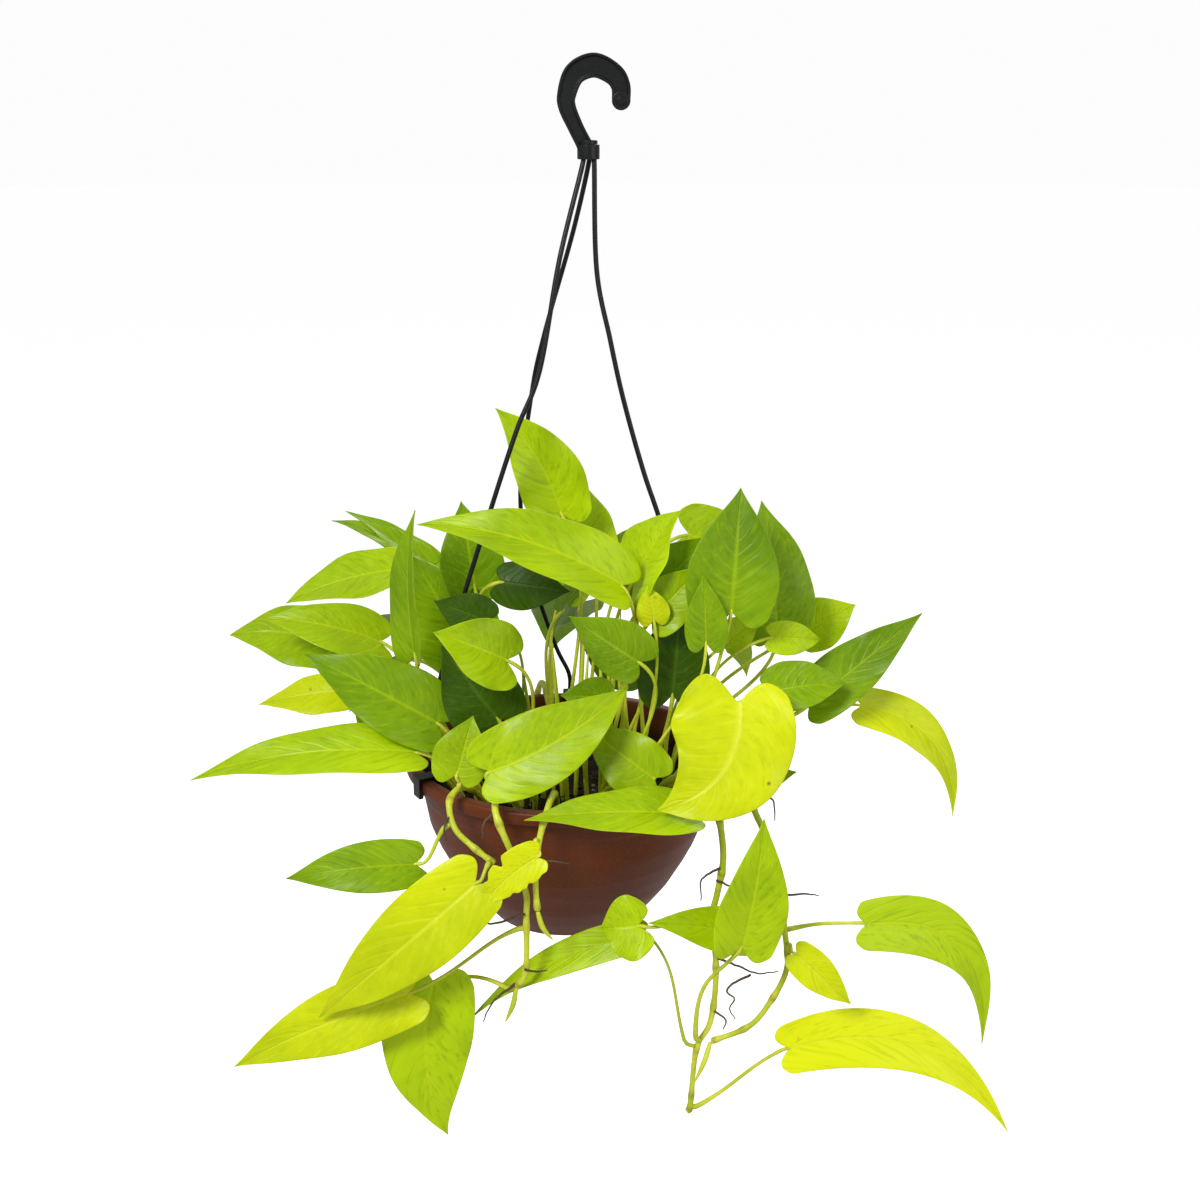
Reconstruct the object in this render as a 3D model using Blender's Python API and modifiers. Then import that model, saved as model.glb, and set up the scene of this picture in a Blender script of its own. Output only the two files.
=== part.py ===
"""Neon pothos in a hanging bowl pot: pot, soil, hook, three clip-on hanger arms, trailing vines and leaves.

The origin is the point under the hook's bow where it hangs. Metres, +Z up, the plant's fuller side faces -Y.
"""

import math

import bmesh
import bpy
from mathutils import Matrix, Vector

# Overall sizes
RIM_DIAMETER = 0.210
POT_HEIGHT = 0.110
BASE_DIAMETER = 0.104
HANG_DROP = 0.4175  # from the bearing point of the hook down to the top of the rim
HOOK_THROAT = 0.0206  # clear width inside the bow of the hook
HEADSPACE = 0.026  # from the top of the rim down to the soil

# Walls, bands and stems
POT_WALL = 0.0020
RIM_SKIRT = 0.0080
HOOK_THICK = 0.0075
HOOK_RIB = 0.0018
HOOK_RECESS = 0.0018
BLOCK_HEIGHT = 0.0085
ARM_DIAMETER = 0.0030
VINE_DIAMETER = 0.0046
PETIOLE_DIAMETER = 0.0030
LEAF_THICK = 0.0012
CLEARANCE = 0.0003  # between pieces that touch

AXIS_X = -0.022  # the pot hangs a little to the left of the hook's bearing point
RIM_Z = -HANG_DROP
RIM_RADIUS = RIM_DIAMETER / 2
SPREAD = RIM_DIAMETER / 0.210  # the plant grows with its pot
SOIL_Z = RIM_Z - HEADSPACE
ARM_ANGLES = {"arm_left": 210, "arm_back": 90, "arm_right": 330}


def clear_scene():
    for obj in list(bpy.data.objects):
        bpy.data.objects.remove(obj, do_unlink=True)


clear_scene()
BODY = bpy.data.collections.new("hanging_pothos")
CUTTERS = bpy.data.collections.new("cutters")
bpy.context.scene.collection.children.link(BODY)
bpy.context.scene.collection.children.link(CUTTERS)
CUTTERS.hide_render = True


def material(name, colour, roughness):
    made = bpy.data.materials.new(name)
    made.diffuse_color = (*colour, 1)
    made.use_nodes = True
    shader = made.node_tree.nodes["Principled BSDF"]
    shader.inputs["Base Color"].default_value = (*colour, 1)
    shader.inputs["Roughness"].default_value = roughness
    shader.inputs["Metallic"].default_value = 0
    return made


BROWN = material("pot_brown", (0.15, 0.045, 0.018), 0.45)
BLACK = material("hanger_black", (0.012, 0.012, 0.013), 0.4)
EARTH = material("potting_soil", (0.018, 0.013, 0.010), 0.95)
STEM = material("stem_green", (0.42, 0.47, 0.04), 0.5)
TONES = {
    "lime": material("leaf_lime", (0.38, 0.55, 0.01), 0.4),
    "yellow": material("leaf_yellow", (0.62, 0.68, 0.01), 0.4),
    "green": material("leaf_green", (0.20, 0.36, 0.01), 0.4),
    "dark": material("leaf_dark", (0.07, 0.16, 0.01), 0.4),
}


def place(obj, coat, helper=False):
    (CUTTERS if helper else BODY).objects.link(obj)
    if helper:
        obj.hide_render = True
        obj.display_type = "WIRE"
    else:
        obj.data.materials.append(coat)
    return obj


def mesh_object(name, work, coat, helper=False, smooth=True):
    bmesh.ops.recalc_face_normals(work, faces=work.faces)
    mesh = bpy.data.meshes.new(name)
    work.to_mesh(mesh)
    work.free()
    for face in mesh.polygons:
        face.use_smooth = smooth
    return place(bpy.data.objects.new(name, mesh), coat, helper)


def loft(rings):
    """One closed skin through rings of equal count; a ring of one point closes to a tip."""
    work = bmesh.new()
    rows = [[work.verts.new(point) for point in ring] for ring in rings]
    for low, high in zip(rows, rows[1:]):
        count = len(low)
        for i in range(count):
            j = (i + 1) % count
            if len(high) == 1:
                work.faces.new((low[i], low[j], high[0]))
            else:
                work.faces.new((low[i], low[j], high[j], high[i]))
    work.faces.new(list(reversed(rows[0])))
    if len(rows[-1]) > 1:
        work.faces.new(rows[-1])
    return work


def boolean(obj, cutter, operation):
    step = obj.modifiers.new(operation.title() + "_" + cutter.name, "BOOLEAN")
    step.solver = "EXACT"
    step.operation = operation
    step.object = cutter


def rod(name, radius, depth, matrix, sides=16):
    work = bmesh.new()
    bmesh.ops.create_cone(
        work, cap_ends=True, segments=sides, radius1=radius, radius2=radius, depth=depth
    )
    bmesh.ops.transform(work, matrix=matrix, verts=work.verts)
    return mesh_object(name, work, None, helper=True)


def turned(name, profile, steps, coat):
    """A profile of (radius, height) turned round the pot's axis, closed at the axis."""
    mesh = bpy.data.meshes.new(name)
    verts = [(r, 0, z) for r, z in profile]
    edges = [(i, i + 1) for i in range(len(verts) - 1)]
    mesh.from_pydata(verts, edges, [])
    obj = place(bpy.data.objects.new(name, mesh), coat)
    obj.location = (AXIS_X, 0, 0)
    screw = obj.modifiers.new("Turn", "SCREW")
    screw.axis = "Z"
    screw.steps = steps
    screw.render_steps = steps
    screw.use_merge_vertices = True
    screw.merge_threshold = 0.00005
    screw.use_smooth_shade = True
    return obj


def through(points, samples):
    """Points along a smooth curve through the given ones."""
    ends = [points[0] * 2 - points[1]] + points + [points[-1] * 2 - points[-2]]
    out = []
    for i in range(1, len(ends) - 2):
        p0, p1, p2, p3 = ends[i - 1 : i + 3]
        for k in range(samples):
            t = k / samples
            out.append(
                0.5
                * (
                    p1 * 2
                    + (p2 - p0) * t
                    + (p0 * 2 - p1 * 5 + p2 * 4 - p3) * t * t
                    + (p1 * 3 - p0 - p2 * 3 + p3) * t**3
                )
            )
    out.append(points[-1])
    return out


def cord(name, points, radius, coat, helper=False):
    """A round cord with filled ends along the points, as a mesh."""
    curve = bpy.data.curves.new(name + "_path", "CURVE")
    curve.dimensions = "3D"
    curve.bevel_depth = radius
    curve.bevel_resolution = 2
    curve.use_fill_caps = True
    spline = curve.splines.new("POLY")
    spline.points.add(len(points) - 1)
    for slot, point in zip(spline.points, points):
        slot.co = (*point, 1)
    guide = bpy.data.objects.new(name + "_path", curve)
    CUTTERS.objects.link(guide)
    guide.hide_render = True
    bpy.context.view_layer.update()
    graph = bpy.context.evaluated_depsgraph_get()
    mesh = bpy.data.meshes.new_from_object(guide.evaluated_get(graph))
    bpy.data.objects.remove(guide, do_unlink=True)
    work = bmesh.new()
    work.from_mesh(mesh)
    bpy.data.meshes.remove(mesh)
    bmesh.ops.remove_doubles(work, verts=work.verts, dist=0.00002)
    return mesh_object(name, work, coat, helper)


# Pot: a bowl with an outward rim and a hanging skirt, a foot ring and drain holes
def pot_profile():
    rim = RIM_RADIUS
    foot = BASE_DIAMETER / 2
    top = RIM_Z
    drop = POT_HEIGHT
    body = rim - 0.0072
    low = top - drop
    outer = [
        (rim, top),
        (rim, top - RIM_SKIRT),
        (rim - 0.0016, top - RIM_SKIRT),
        (rim - 0.0016, top - 0.0018),
        (body, top - 0.0018),
        (body - 0.0022, top - 0.20 * drop),
        (body - 0.0034, top - 0.21 * drop),
        (body - 0.0070, top - 0.40 * drop),
        (foot + 0.62 * (body - foot), top - 0.62 * drop),
        (foot + 0.40 * (body - foot), top - 0.78 * drop),
        (foot + 0.20 * (body - foot), top - 0.89 * drop),
        (foot + 0.04 * (body - foot), top - 0.965 * drop),
        (foot - 0.0010, low),
        (foot - 0.0050, low),
        (foot - 0.0070, low + 0.0025),
        (0, low + 0.0025),
    ]
    inner = [(0, low + 0.0025 + POT_WALL)]
    for r, z in (
        (foot - 0.0050, low + 0.0025 + POT_WALL),
        (foot + 0.03 * (body - foot) - POT_WALL, top - 0.945 * drop),
        (foot + 0.20 * (body - foot) - POT_WALL, top - 0.875 * drop),
        (foot + 0.40 * (body - foot) - POT_WALL, top - 0.765 * drop),
        (foot + 0.62 * (body - foot) - POT_WALL, top - 0.61 * drop),
        (body - 0.0070 - POT_WALL, top - 0.40 * drop),
        (body - 0.0034 - POT_WALL, top - 0.21 * drop),
        (body - 0.0008, top),
    ):
        inner.append((r, z))
    return outer, inner


OUTER, INNER = pot_profile()
pot = turned("pot", INNER + OUTER, 44, BROWN)
BASE_Z = RIM_Z - POT_HEIGHT
for i in range(6):
    turn = Matrix.Rotation(math.radians(60 * i), 4, "Z")
    spot = Matrix.Translation((AXIS_X, 0, BASE_Z)) @ turn
    hole = rod(
        f"drain_cut_{i}", 0.0035, 0.02, spot @ Matrix.Translation((0.030, 0, 0)), 12
    )
    boolean(pot, hole, "DIFFERENCE")


def inner_radius(z):
    for (r0, z0), (r1, z1) in zip(INNER[1:], INNER[2:]):
        if z0 <= z <= z1:
            return r0 + (r1 - r0) * (z - z0) / (z1 - z0)
    return INNER[1][0]


# Soil fills the bowl up to the headspace
def soil_profile():
    floor = INNER[1][1] + CLEARANCE
    points = [(0, floor), (INNER[1][0] - 0.0015, floor)]
    for r, z in INNER[2:]:
        if z < SOIL_Z - 0.004:
            points.append((r - 0.0005, z))
    points.append((inner_radius(SOIL_Z) - 0.0008, SOIL_Z))
    points.append((0, SOIL_Z))
    return points


turned("soil", soil_profile()[::-1], 32, EARTH)


# Hook: a round-ended band with a recessed web, bent into an open bow, with a socket block below
def hook_stations():
    """Centre x, centre z and half width down the band, from its free end round the bow to the block."""
    r = HOOK_THROAT / 2
    s = r / 0.0103
    mid = -0.0036
    low = -r
    return [
        (mid + 1.545 * r, low - 0.0024, 0.0054),
        (mid + 1.51 * r, low + 0.55 * r, 0.0056),
        (mid + 1.08 * r, low + 1.20 * r, 0.0062),
        (mid + 0.02 * r, low + 1.0 * r + 0.0068, 0.0068),
        (mid - 1.06 * r, low + 1.22 * r, 0.0064),
        (mid - 1.525 * r, low + 0.12 * r, 0.0055),
        (mid - 1.50 * r, low - 0.0062, 0.0051),
        (-0.0142 - 0.2 * (s - 1) * r, low - 0.0172, 0.0046),
        (-0.0095, low - 0.0262, 0.0047),
        (-0.0068, low - 0.0318, 0.0054),
    ]


def band(name, stations):
    """The hook's strap: an I section with raised edges and a thin web, swept down the stations."""
    centre = through([Vector((x, 0, z)) for x, z, _ in stations], 3)
    widths = through([Vector((w, 0, 0)) for _, _, w in stations], 3)
    thick = HOOK_THICK / 2
    web = thick - HOOK_RECESS
    rings = []
    for i, point in enumerate(centre):
        ahead = centre[min(i + 1, len(centre) - 1)]
        back = centre[max(i - 1, 0)]
        along = (ahead - back).normalized()
        side = Vector((along.z, 0, -along.x))
        out = widths[i].x
        rib = out - HOOK_RIB
        section = [(out, -thick), (out, thick), (rib, thick), (rib, web), (-rib, web), (-rib, thick)]
        section += [(-x, -y) for x, y in section]
        rings.append([point + side * x + Vector((0, y, 0)) for x, y in section])
    return mesh_object(name, loft(rings), BLACK, smooth=False)


STATIONS = hook_stations()
hook = band("hook", STATIONS)
TIP = Vector((STATIONS[0][0], 0, STATIONS[0][1]))
BLOCK = Vector((STATIONS[-1][0], 0, STATIONS[-1][1] + 0.0008))
FACING = Matrix.Rotation(math.radians(90), 4, "X")
BOSS_THICK = HOOK_THICK + 0.0004
ROUNDS = [
    rod("tip_round", STATIONS[0][2], BOSS_THICK, Matrix.Translation(TIP) @ FACING, 20),
    rod("button", 0.0026, BOSS_THICK + 0.0012, Matrix.Translation(TIP) @ FACING, 14),
    rod("block", 0.0066, BLOCK_HEIGHT, Matrix.Translation(BLOCK), 24),
]
for piece in ROUNDS:
    boolean(hook, piece, "UNION")

# Hanger arms: each plugs into the block and ends in a clip over the rim
SOCKET_Z = BLOCK.z - BLOCK_HEIGHT / 2
ARM_SHAPES = {
    "arm_left": ((-2, -12, 315), (-14, -22, 251), (-28, -28, 216), (-45, -35, 166),
                 (-63, -42, 110), (-80, -47, 50)),
    "arm_back": ((5, 28, 327), (-14, 55, 262), (-23, 68, 222), (-32, 80, 152),
                 (-26, 90, 95), (-10, 96, 40)),
    "arm_right": ((20, -8, 309), (28, -16, 269), (36, -22, 234), (48, -28, 192),
                  (62, -36, 150), (79, -45, 80)),
}
PLANT_TOP = 0.250 * SPREAD


def arm_point(x, y, z):
    """Below the plant's top the arms follow the pot; above it they stretch to reach the hook."""
    reach = HANG_DROP + SOCKET_Z - PLANT_TOP
    rise = z / 1000 * SPREAD
    if rise > PLANT_TOP:
        share = (z / 1000 - 0.250) / (0.4175 - 0.0456 - 0.250)
        rise = PLANT_TOP + reach * share
    return Vector((AXIS_X + x / 1000 * SPREAD, y / 1000 * SPREAD, RIM_Z + rise))


for name, degrees in ARM_ANGLES.items():
    angle = math.radians(degrees)
    out = Vector((math.cos(angle), math.sin(angle), 0))
    plug = Vector((BLOCK.x, 0, SOCKET_Z)) + out * 0.0040
    socket = rod(
        f"socket_{name}",
        ARM_DIAMETER / 2 + CLEARANCE,
        0.0090,
        Matrix.Translation(plug),
        12,
    )
    boolean(hook, socket, "DIFFERENCE")
    seat = Vector((AXIS_X, 0, RIM_Z)) + out * (RIM_RADIUS - 0.0113)
    points = [
        plug + Vector((0, 0, 0.0045 - CLEARANCE)),
        plug + Vector((0, 0, -0.0030)),
        *[arm_point(*p) for p in ARM_SHAPES[name]],
        seat + Vector((0, 0, 0.018)),
        seat + Vector((0, 0, 0.0005)),
    ]
    path = [points[0]] + through(points[1:], 3)
    arm = cord(name, path, ARM_DIAMETER / 2, BLACK)
    turn = Matrix.Translation((AXIS_X, 0, RIM_Z)) @ Matrix.Rotation(angle, 4, "Z")
    lip = RIM_RADIUS
    inner_leg = lip - 0.0104
    outer_leg = lip + CLEARANCE
    clip = [
        (inner_leg - 0.0018, -0.0060),
        (inner_leg, -0.0060),
        (inner_leg, CLEARANCE),
        (outer_leg, CLEARANCE),
        (outer_leg, -RIM_SKIRT - CLEARANCE),
        (outer_leg - 0.0014, -RIM_SKIRT - CLEARANCE),
        (outer_leg - 0.0006, -RIM_SKIRT - 0.0032),
        (outer_leg + 0.0018, -RIM_SKIRT - 0.0032),
        (outer_leg + 0.0018, 0.0021),
        (inner_leg - 0.0018, 0.0021),
    ]
    rings = []
    for along in (-0.0045, 0.0045):
        rings.append([turn @ Vector((r, along, z)) for r, z in clip])
    grip = mesh_object(f"clip_{name}", loft(rings), None, helper=True, smooth=False)
    boolean(arm, grip, "UNION")


def plant(x, y, z):
    """Millimetres from the centre of the rim, as world metres."""
    return Vector((AXIS_X + x * SPREAD / 1000, y * SPREAD / 1000, RIM_Z + z * SPREAD / 1000))


def rooted(x, y):
    return Vector((AXIS_X + x * SPREAD / 1000, y * SPREAD / 1000, SOIL_Z + CLEARANCE + 0.0015))


# Vines: each rises from the soil, crosses the rim and hangs down outside
VINES = {
    "vine_right": ((50, -50), (58, -60, -4), (70, -66, 8), (82, -74, 8), (92, -84, -4),
                   (96, -88, -22), (97, -88, -40), (94, -88, -60), (91, -88, -78),
                   (94, -88, -105), (94, -88, -130), (91, -88, -152), (83, -88, -170),
                   (80, -88, -210), (78, -88, -215)),
    "vine_far_right": ((62, -28), (76, -26, -2), (96, -28, 8), (112, -42, 8), (116, -62, 2),
                       (116, -78, -8), (124, -85, -25), (131, -90, -50), (136, -90, -84),
                       (138, -90, -112), (126, -90, -139), (114, -90, -153), (92, -88, -164)),
    "vine_left": ((-25, -60), (-32, -74, -2), (-38, -90, 8), (-40, -107, 7), (-37, -114, -2),
                  (-29, -116, -22), (-22, -116, -45), (-22, -115, -62), (-23, -113, -99),
                  (-29, -111, -111)),
    "vine_front": ((-4, -58), (-5, -76, -2), (-6, -94, 8), (-9, -110, 6), (-14, -118, -12),
                   (-16, -120, -35), (-15, -122, -54)),
    "vine_far_left": ((-46, -46), (-55, -66, -2), (-63, -84, 8), (-68, -96, 4),
                      (-64, -106, -8), (-52, -112, -18), (-40, -116, -26)),
    "vine_rear": ((-10, 60), (-14, 78, 0), (-18, 98, 8), (-22, 112, 2), (-26, 118, -25),
                  (-22, 120, -60), (-30, 119, -95), (-26, 118, -130)),
}


def vine_points(name):
    first, *rest = VINES[name]
    return [rooted(*first)] + [plant(*p) for p in rest]


for name in VINES:
    cord(name, through(vine_points(name), 2), VINE_DIAMETER / 2, STEM)

# Leaves
FRONT = (0, -1, 0.35)
UP = (0, -0.45, 1)
# name: root, base, tip, width, face, fold, arch, sweep, twist, tone, via
LEAVES = {
    "leaf_crown": ((-2, -2), (-2, 5, 156), (-42, -5, 226), 48, (0.3, -1, 0.2), 20, 0.02, 0.06, 0,
        "lime", None),
    "leaf_crown_right": ((12, 12), (17, 25, 122), (6, 35, 178), 46, (0.4, -1, 0.2), 15, 0.02, -0.05, 0,
        "lime", None),
    "leaf_lime_top": ((30, -34), (42, -55, 130), (68, -61, 176), 50, (-1, -0.8, 0.5), 20, 0.03, 0.0, 0,
        "lime", None),
    "leaf_top_right": ((52, 8), (77, 0, 145), (124, 10, 124), 46, (-0.2, -1, 0.7), 10, 0.06, 0.0, 0,
        "lime", None),
    "leaf_big_right": ((62, -50), (99, -79, 117), (104, -65, 190), 58, FRONT, 15, 0.03, 0.0, 0, "green",
        (80, -72, 50)),
    "leaf_adj_right": ((66, -8), (131, -40, 96), (121, -25, 173), 54, (0.3, -1, 0.3), 10, 0.03,
        0.0, 0, "green", None),
    "leaf_heart_up": ((40, -62), (84, -87, 100), (82, -84, 142), 28, FRONT, 20, 0.02, 0.0, 0, "green",
        None),
    "leaf_bright_right": ((70, 14), (152, 2, 79), (186, 2, 98), 36, FRONT, 5, 0.05, 0.0, 0, "lime",
        None),
    "leaf_far_right": ((74, 4), (150, -50, 48), (222, -30, 103), 38, (-0.2, -1, 0.6), 15, -0.02, 0.0, 0,
        "green", None),
    "leaf_droop_right": ((80, 12), (186, -30, 42), (250, -40, -32), 31, (0.6, -1, 0.5), 10, 0.06, -0.20,
        0, "yellow", None),
    "leaf_front_heart": ((66, -18), (103, -103, 71), (54, -125, 12), 76, FRONT, 5, 0.06, -0.20, 0,
        "yellow", (108, -50, 35)),
    "leaf_triangle": ((14, -52), (56, -82, 13), (12, -65, 41), 40, FRONT, 10, 0.04, 0.0, 0,
        "lime", (30, -70, 20)),
    "leaf_long_left": ((-62, -36), (-89, -70, 26), (-230, -70, 7), 38, (0, -0.7, 1), 15, 0.10, 0.0, 0,
        "lime", (-74, -64, 16)),
    "leaf_green_left": ((-56, -30), (-76, -60, 40), (-159, -55, 85), 50, (0, -1, 0.7), 15, 0.03,
        0.0, 0, "green", (-62, -48, 10)),
    "leaf_yellow_left": ((-70, -18), (-138, -15, 46), (-198, -10, 34), 32, (0, -0.8, 0.8), 10,
        0.05, 0.0, 30, "yellow", (-100, -18, 20)),
    "leaf_far_left": ((-64, 14), (-151, 22, 66), (-221, 15, 74), 50, (0, -0.7, 0.8), 5, 0.10, 0.0,
        0, "lime", (-100, 20, 30)),
    "leaf_mid_left": ((-62, -10), (-117, -5, 75), (-191, -15, 94), 40, (0, -0.8, 0.8), 15, 0.10,
        0.0, 0, "lime", (-90, -6, 40)),
    "leaf_back_left": ((-46, 22), (-109, 21, 116), (-183, 18, 94), 44, (0, -0.6, 1), 15, 0.06,
        0.0, 0, "lime", (-70, 22, 70)),
    "leaf_narrow": ((-52, -24), (-91, -50, 81), (-91, -45, 172), 34, (-0.9, -0.8, 0.2), 25, 0.04, 0.0,
        0, "green", (-84, -34, 50)),
    "leaf_thin_back": ((-36, 34), (-74, 44, 96), (-147, 58, 149), 28, (0, -0.4, 1), 20, 0.04, 0.0, 0,
        "green", None),
    "leaf_olive": ((-40, 6), (-63, 10, 64), (-99, 15, 127), 60, FRONT, 10, 0.02, 0.0, 0, "green", None),
    "leaf_long_centre": ((22, -50), (36, -80, 134), (-85, -86, 176), 46, (0.1, -0.8, 0.8), 20, 0.12,
        0.0, 0, "lime", (30, -62, 70)),
    "leaf_peak": ((-26, 4), (-58, 5, 108), (-66, 10, 164), 44, FRONT, 15, 0.02, 0.0, 0, "green", None),
    "leaf_dark_centre": ((-14, -26), (-40, -25, 121), (4, -30, 116), 32, FRONT, -10, 0.04, 0.0, 0,
        "dark", None),
    "leaf_light_centre": ((-28, -44), (-33, -68, 84), (-76, -82, 107), 46, (0.1, -1, 0.6), 20,
        0.06, 0.0, 0, "lime", None),
    "leaf_dark_low": ((-36, -34), (-40, -58, 42), (-74, -62, 92), 50, FRONT, 10, 0.03, 0.0, 0,
        "dark", None),
    "leaf_fan": ((34, -58), (46, -84, 88), (4, -96, 121), 36, (0.1, -1, 0.2), 5, 0.05, 0.0, 0, "green",
        None),
    "leaf_dark_right": ((54, -40), (66, -58, 57), (71, -62, 122), 46, FRONT, 5, 0.02, 0.0, 0,
        "dark", None),
    "leaf_mid_right": ((42, -30), (49, -48, 114), (89, -44, 156), 44, FRONT, 15, 0.04, 0.0, 0,
        "green", None),
    "leaf_rear_left": ((-44, 44), (-92, 88, 62), (-160, 132, 22), 52, (-0.3, 0.5, 1), 12, 0.10,
        0.0, 0, "green", None),
    "leaf_rear_centre": ((6, 52), (4, 112, 66), (-16, 172, 8), 54, (0, 0.6, 0.9), 12, 0.10, 0.0,
        0, "green", None),
    "leaf_rear_right": ((44, 44), (88, 92, 58), (132, 132, 4), 52, (0.4, 0.5, 0.9), 12, 0.10, 0.0,
        0, "lime", None),
}
TRAILING = {
    "leaf_rim_front": ((80, -77.8, 9), (77, -112, 4), (-23, -122, 6), 36, (0, -0.6, 1), 15, 0.04,
        0.0, 0, "lime", None),
    "leaf_small_front": ((-62, -86, 12.6), (-64, -88, 18), (-54, -78, 53), 36, FRONT, 10, 0.03,
        0.0, 0, "lime", None),
    "leaf_front_centre": ((-42, -97.5, 12.8), (-44, -102, 26), (40, -79, 73), 50, (0, -1, 0.5),
        12, 0.05, 0.06, 0, "lime", None),
    "leaf_under_heart": ((92.5, -84.8, 1.5), (93, -97, 10), (138, -104, 28), 32, (0, -0.8, 1), 5,
        0.05, 0.0, 0, "green", None),
    "leaf_t_green": ((-70.5, -104, -8), (-87, -106, -31), (-166, -112, -38), 34, (0, -1, 0.7), 15, 0.12,
        0.0, 0, "green", None),
    "leaf_t_long": ((-44, -120, -25), (-50, -126, -33), (-150, -128, -125), 50, FRONT, 8, 0.06, 0.0, 0,
        "yellow", None),
    "leaf_t_lower": ((-26, -113, -70), (-92, -116, -112), (-205, -116, -165), 44, FRONT, 10, 0.04,
        0.03, 0, "yellow", (-50, -112, -80)),
    "leaf_t_heart": ((-33, -111, -113), (-80, -104, -111), (-74, -104, -223), 60, FRONT, 10, 0.04,
        0.08, 0, "lime", (-58, -91, -108)),
    "leaf_t_twist": ((76, -91, -165), (50, -100, -80), (-62, -97, -142), 24, (0, -1, 0.7), 15, 0.03,
        0.06, 60, "lime", (66, -98, -125)),
    "leaf_t_small": ((88, -92, -72), (46, -110, -70), (22, -104, -75), 42, FRONT, 12, 0.08, 0.0, 0,
        "lime", None),
    "leaf_t_front": ((82, -94, -160), (106, -124, -78), (118, -122, 6), 46, (0.2, -1, 0.2), 15,
        0.06, 0.0, 0, "lime", (80, -104, -105)),
    "leaf_t_tip": ((139, -94, -92), (141, -104, -92), (177, -108, -126), 24, FRONT, 10, 0.04, 0.0, 0,
        "yellow", None),
    "leaf_t_right": ((141, -88, -84), (185, -90, -79), (268, -82, -172), 38, (0.5, -1, 0.5), 10, 0.06,
        -0.26, 0, "lime", (160, -90, -78)),
    "leaf_rear_drop": ((-26, 125, -62), (-42, 130, -66), (-92, 152, -138), 50, (-0.2, 1, 0.4), 12,
        0.06, 0.0, 0, "green", None),
    "leaf_rear_low": ((-24, 124, -112), (-8, 130, -112), (28, 142, -184), 48, (0.2, 1, 0.4), 12,
        0.06, 0.0, 0, "lime", None),
    "leaf_t_low_right": ((84, -88, -212), (139, -98, -162), (285, -97, -227), 38, (0.3, -1, 0.6), 10,
        0.05, -0.18, 0, "yellow", (112, -92, -190)),
}
ROWS = (0.0, 0.10, 0.26, 0.46, 0.66, 0.84)


def half_shape(u):
    """Half width of a heart blade down its length, as a share of the widest."""
    return 0.8 * (1 - u) ** 1.3 * (1 + 3.1 * u)


def blade_rings(base, tip, width, face, fold, arch, sweep, twist):
    along = (tip - base).normalized()
    length = (tip - base).length
    face = Vector(face)
    normal = (face - along * face.dot(along)).normalized()
    across = along.cross(normal)
    rings = []
    for u in ROWS:
        bow = 4 * u * (1 - u)
        slope = 4 * (1 - 2 * u)
        centre = base + along * (0.002 + (length - 0.002) * u)
        centre += (normal * arch + across * sweep) * length * bow
        run = (along + (normal * arch + across * sweep) * slope).normalized()
        up = (normal - run * normal.dot(run)).normalized()
        up = Matrix.Rotation(math.radians(twist) * (u - 0.2), 3, run) @ up
        side = run.cross(up)
        half = width / 2 * half_shape(u)
        lift = math.radians(fold)
        ring = []
        for v, skin in ((-1, 0), (-0.5, 1), (0, 1), (0.5, 1), (1, 0), (0.5, -1), (0, -1), (-0.5, -1)):
            lobe = 0.20 * width * (1 - u) ** 4 * math.sin(0.88 * math.pi * abs(v))
            point = centre + side * (v * half * math.cos(lift)) - run * lobe
            point += up * (abs(v) * half * math.sin(lift) + skin * LEAF_THICK / 2)
            ring.append(point)
        rings.append(ring)
    rings.append([tip])
    return rings, normal, along


def petiole_rings(root, base, along, normal, via, start, count=5):
    reach = (base - root).length
    arrive = Vector((along.x, along.y, max(along.z, 0.4)))
    arrive = (arrive.normalized() + along * 0.5).normalized()
    first = root + start * reach * 0.4
    last = base - arrive * reach * 0.3
    if via is not None:
        first = via.copy()
        last = via * 0.5 + last * 0.5
    rings = []
    for i in range(count):
        t = i / (count - 1)
        s = 1 - t
        point = root * s**3 + first * (3 * s * s * t) + last * (3 * s * t * t) + base * t**3
        run = (first - root) * s * s + (last - first) * (2 * s * t) + (base - last) * t * t
        run.normalize()
        up = (normal - run * normal.dot(run)).normalized()
        side = run.cross(up)
        radius = PETIOLE_DIAMETER / 2 * (1.15 - 0.25 * t)
        ring = []
        for k in range(8):
            angle = math.pi - k * math.pi / 4
            ring.append(point + side * (math.cos(angle) * radius) + up * (math.sin(angle) * radius))
        rings.append(ring)
    return rings


def leaf(name, root, row, start):
    _, base, tip, width, face, fold, arch, sweep, twist, tone, via = row
    base = plant(*base)
    tip = plant(*tip)
    blade, normal, along = blade_rings(
        base, tip, width * SPREAD / 1000, face, fold, arch, sweep, twist
    )
    via = plant(*via) if via else None
    stalk = petiole_rings(root, base, along, normal, via, start)
    return mesh_object(name, loft(stalk + blade), TONES[tone])


for name, row in LEAVES.items():
    leaf(name, rooted(*row[0]), row, Vector((0, 0, 1)))
for name, row in TRAILING.items():
    root = plant(*row[0])
    aim = (plant(*row[1]) - root).normalized()
    leaf(name, root, row, aim)
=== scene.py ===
import math
import random

import bmesh
import bpy
from mathutils import Matrix, Vector, noise


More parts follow.
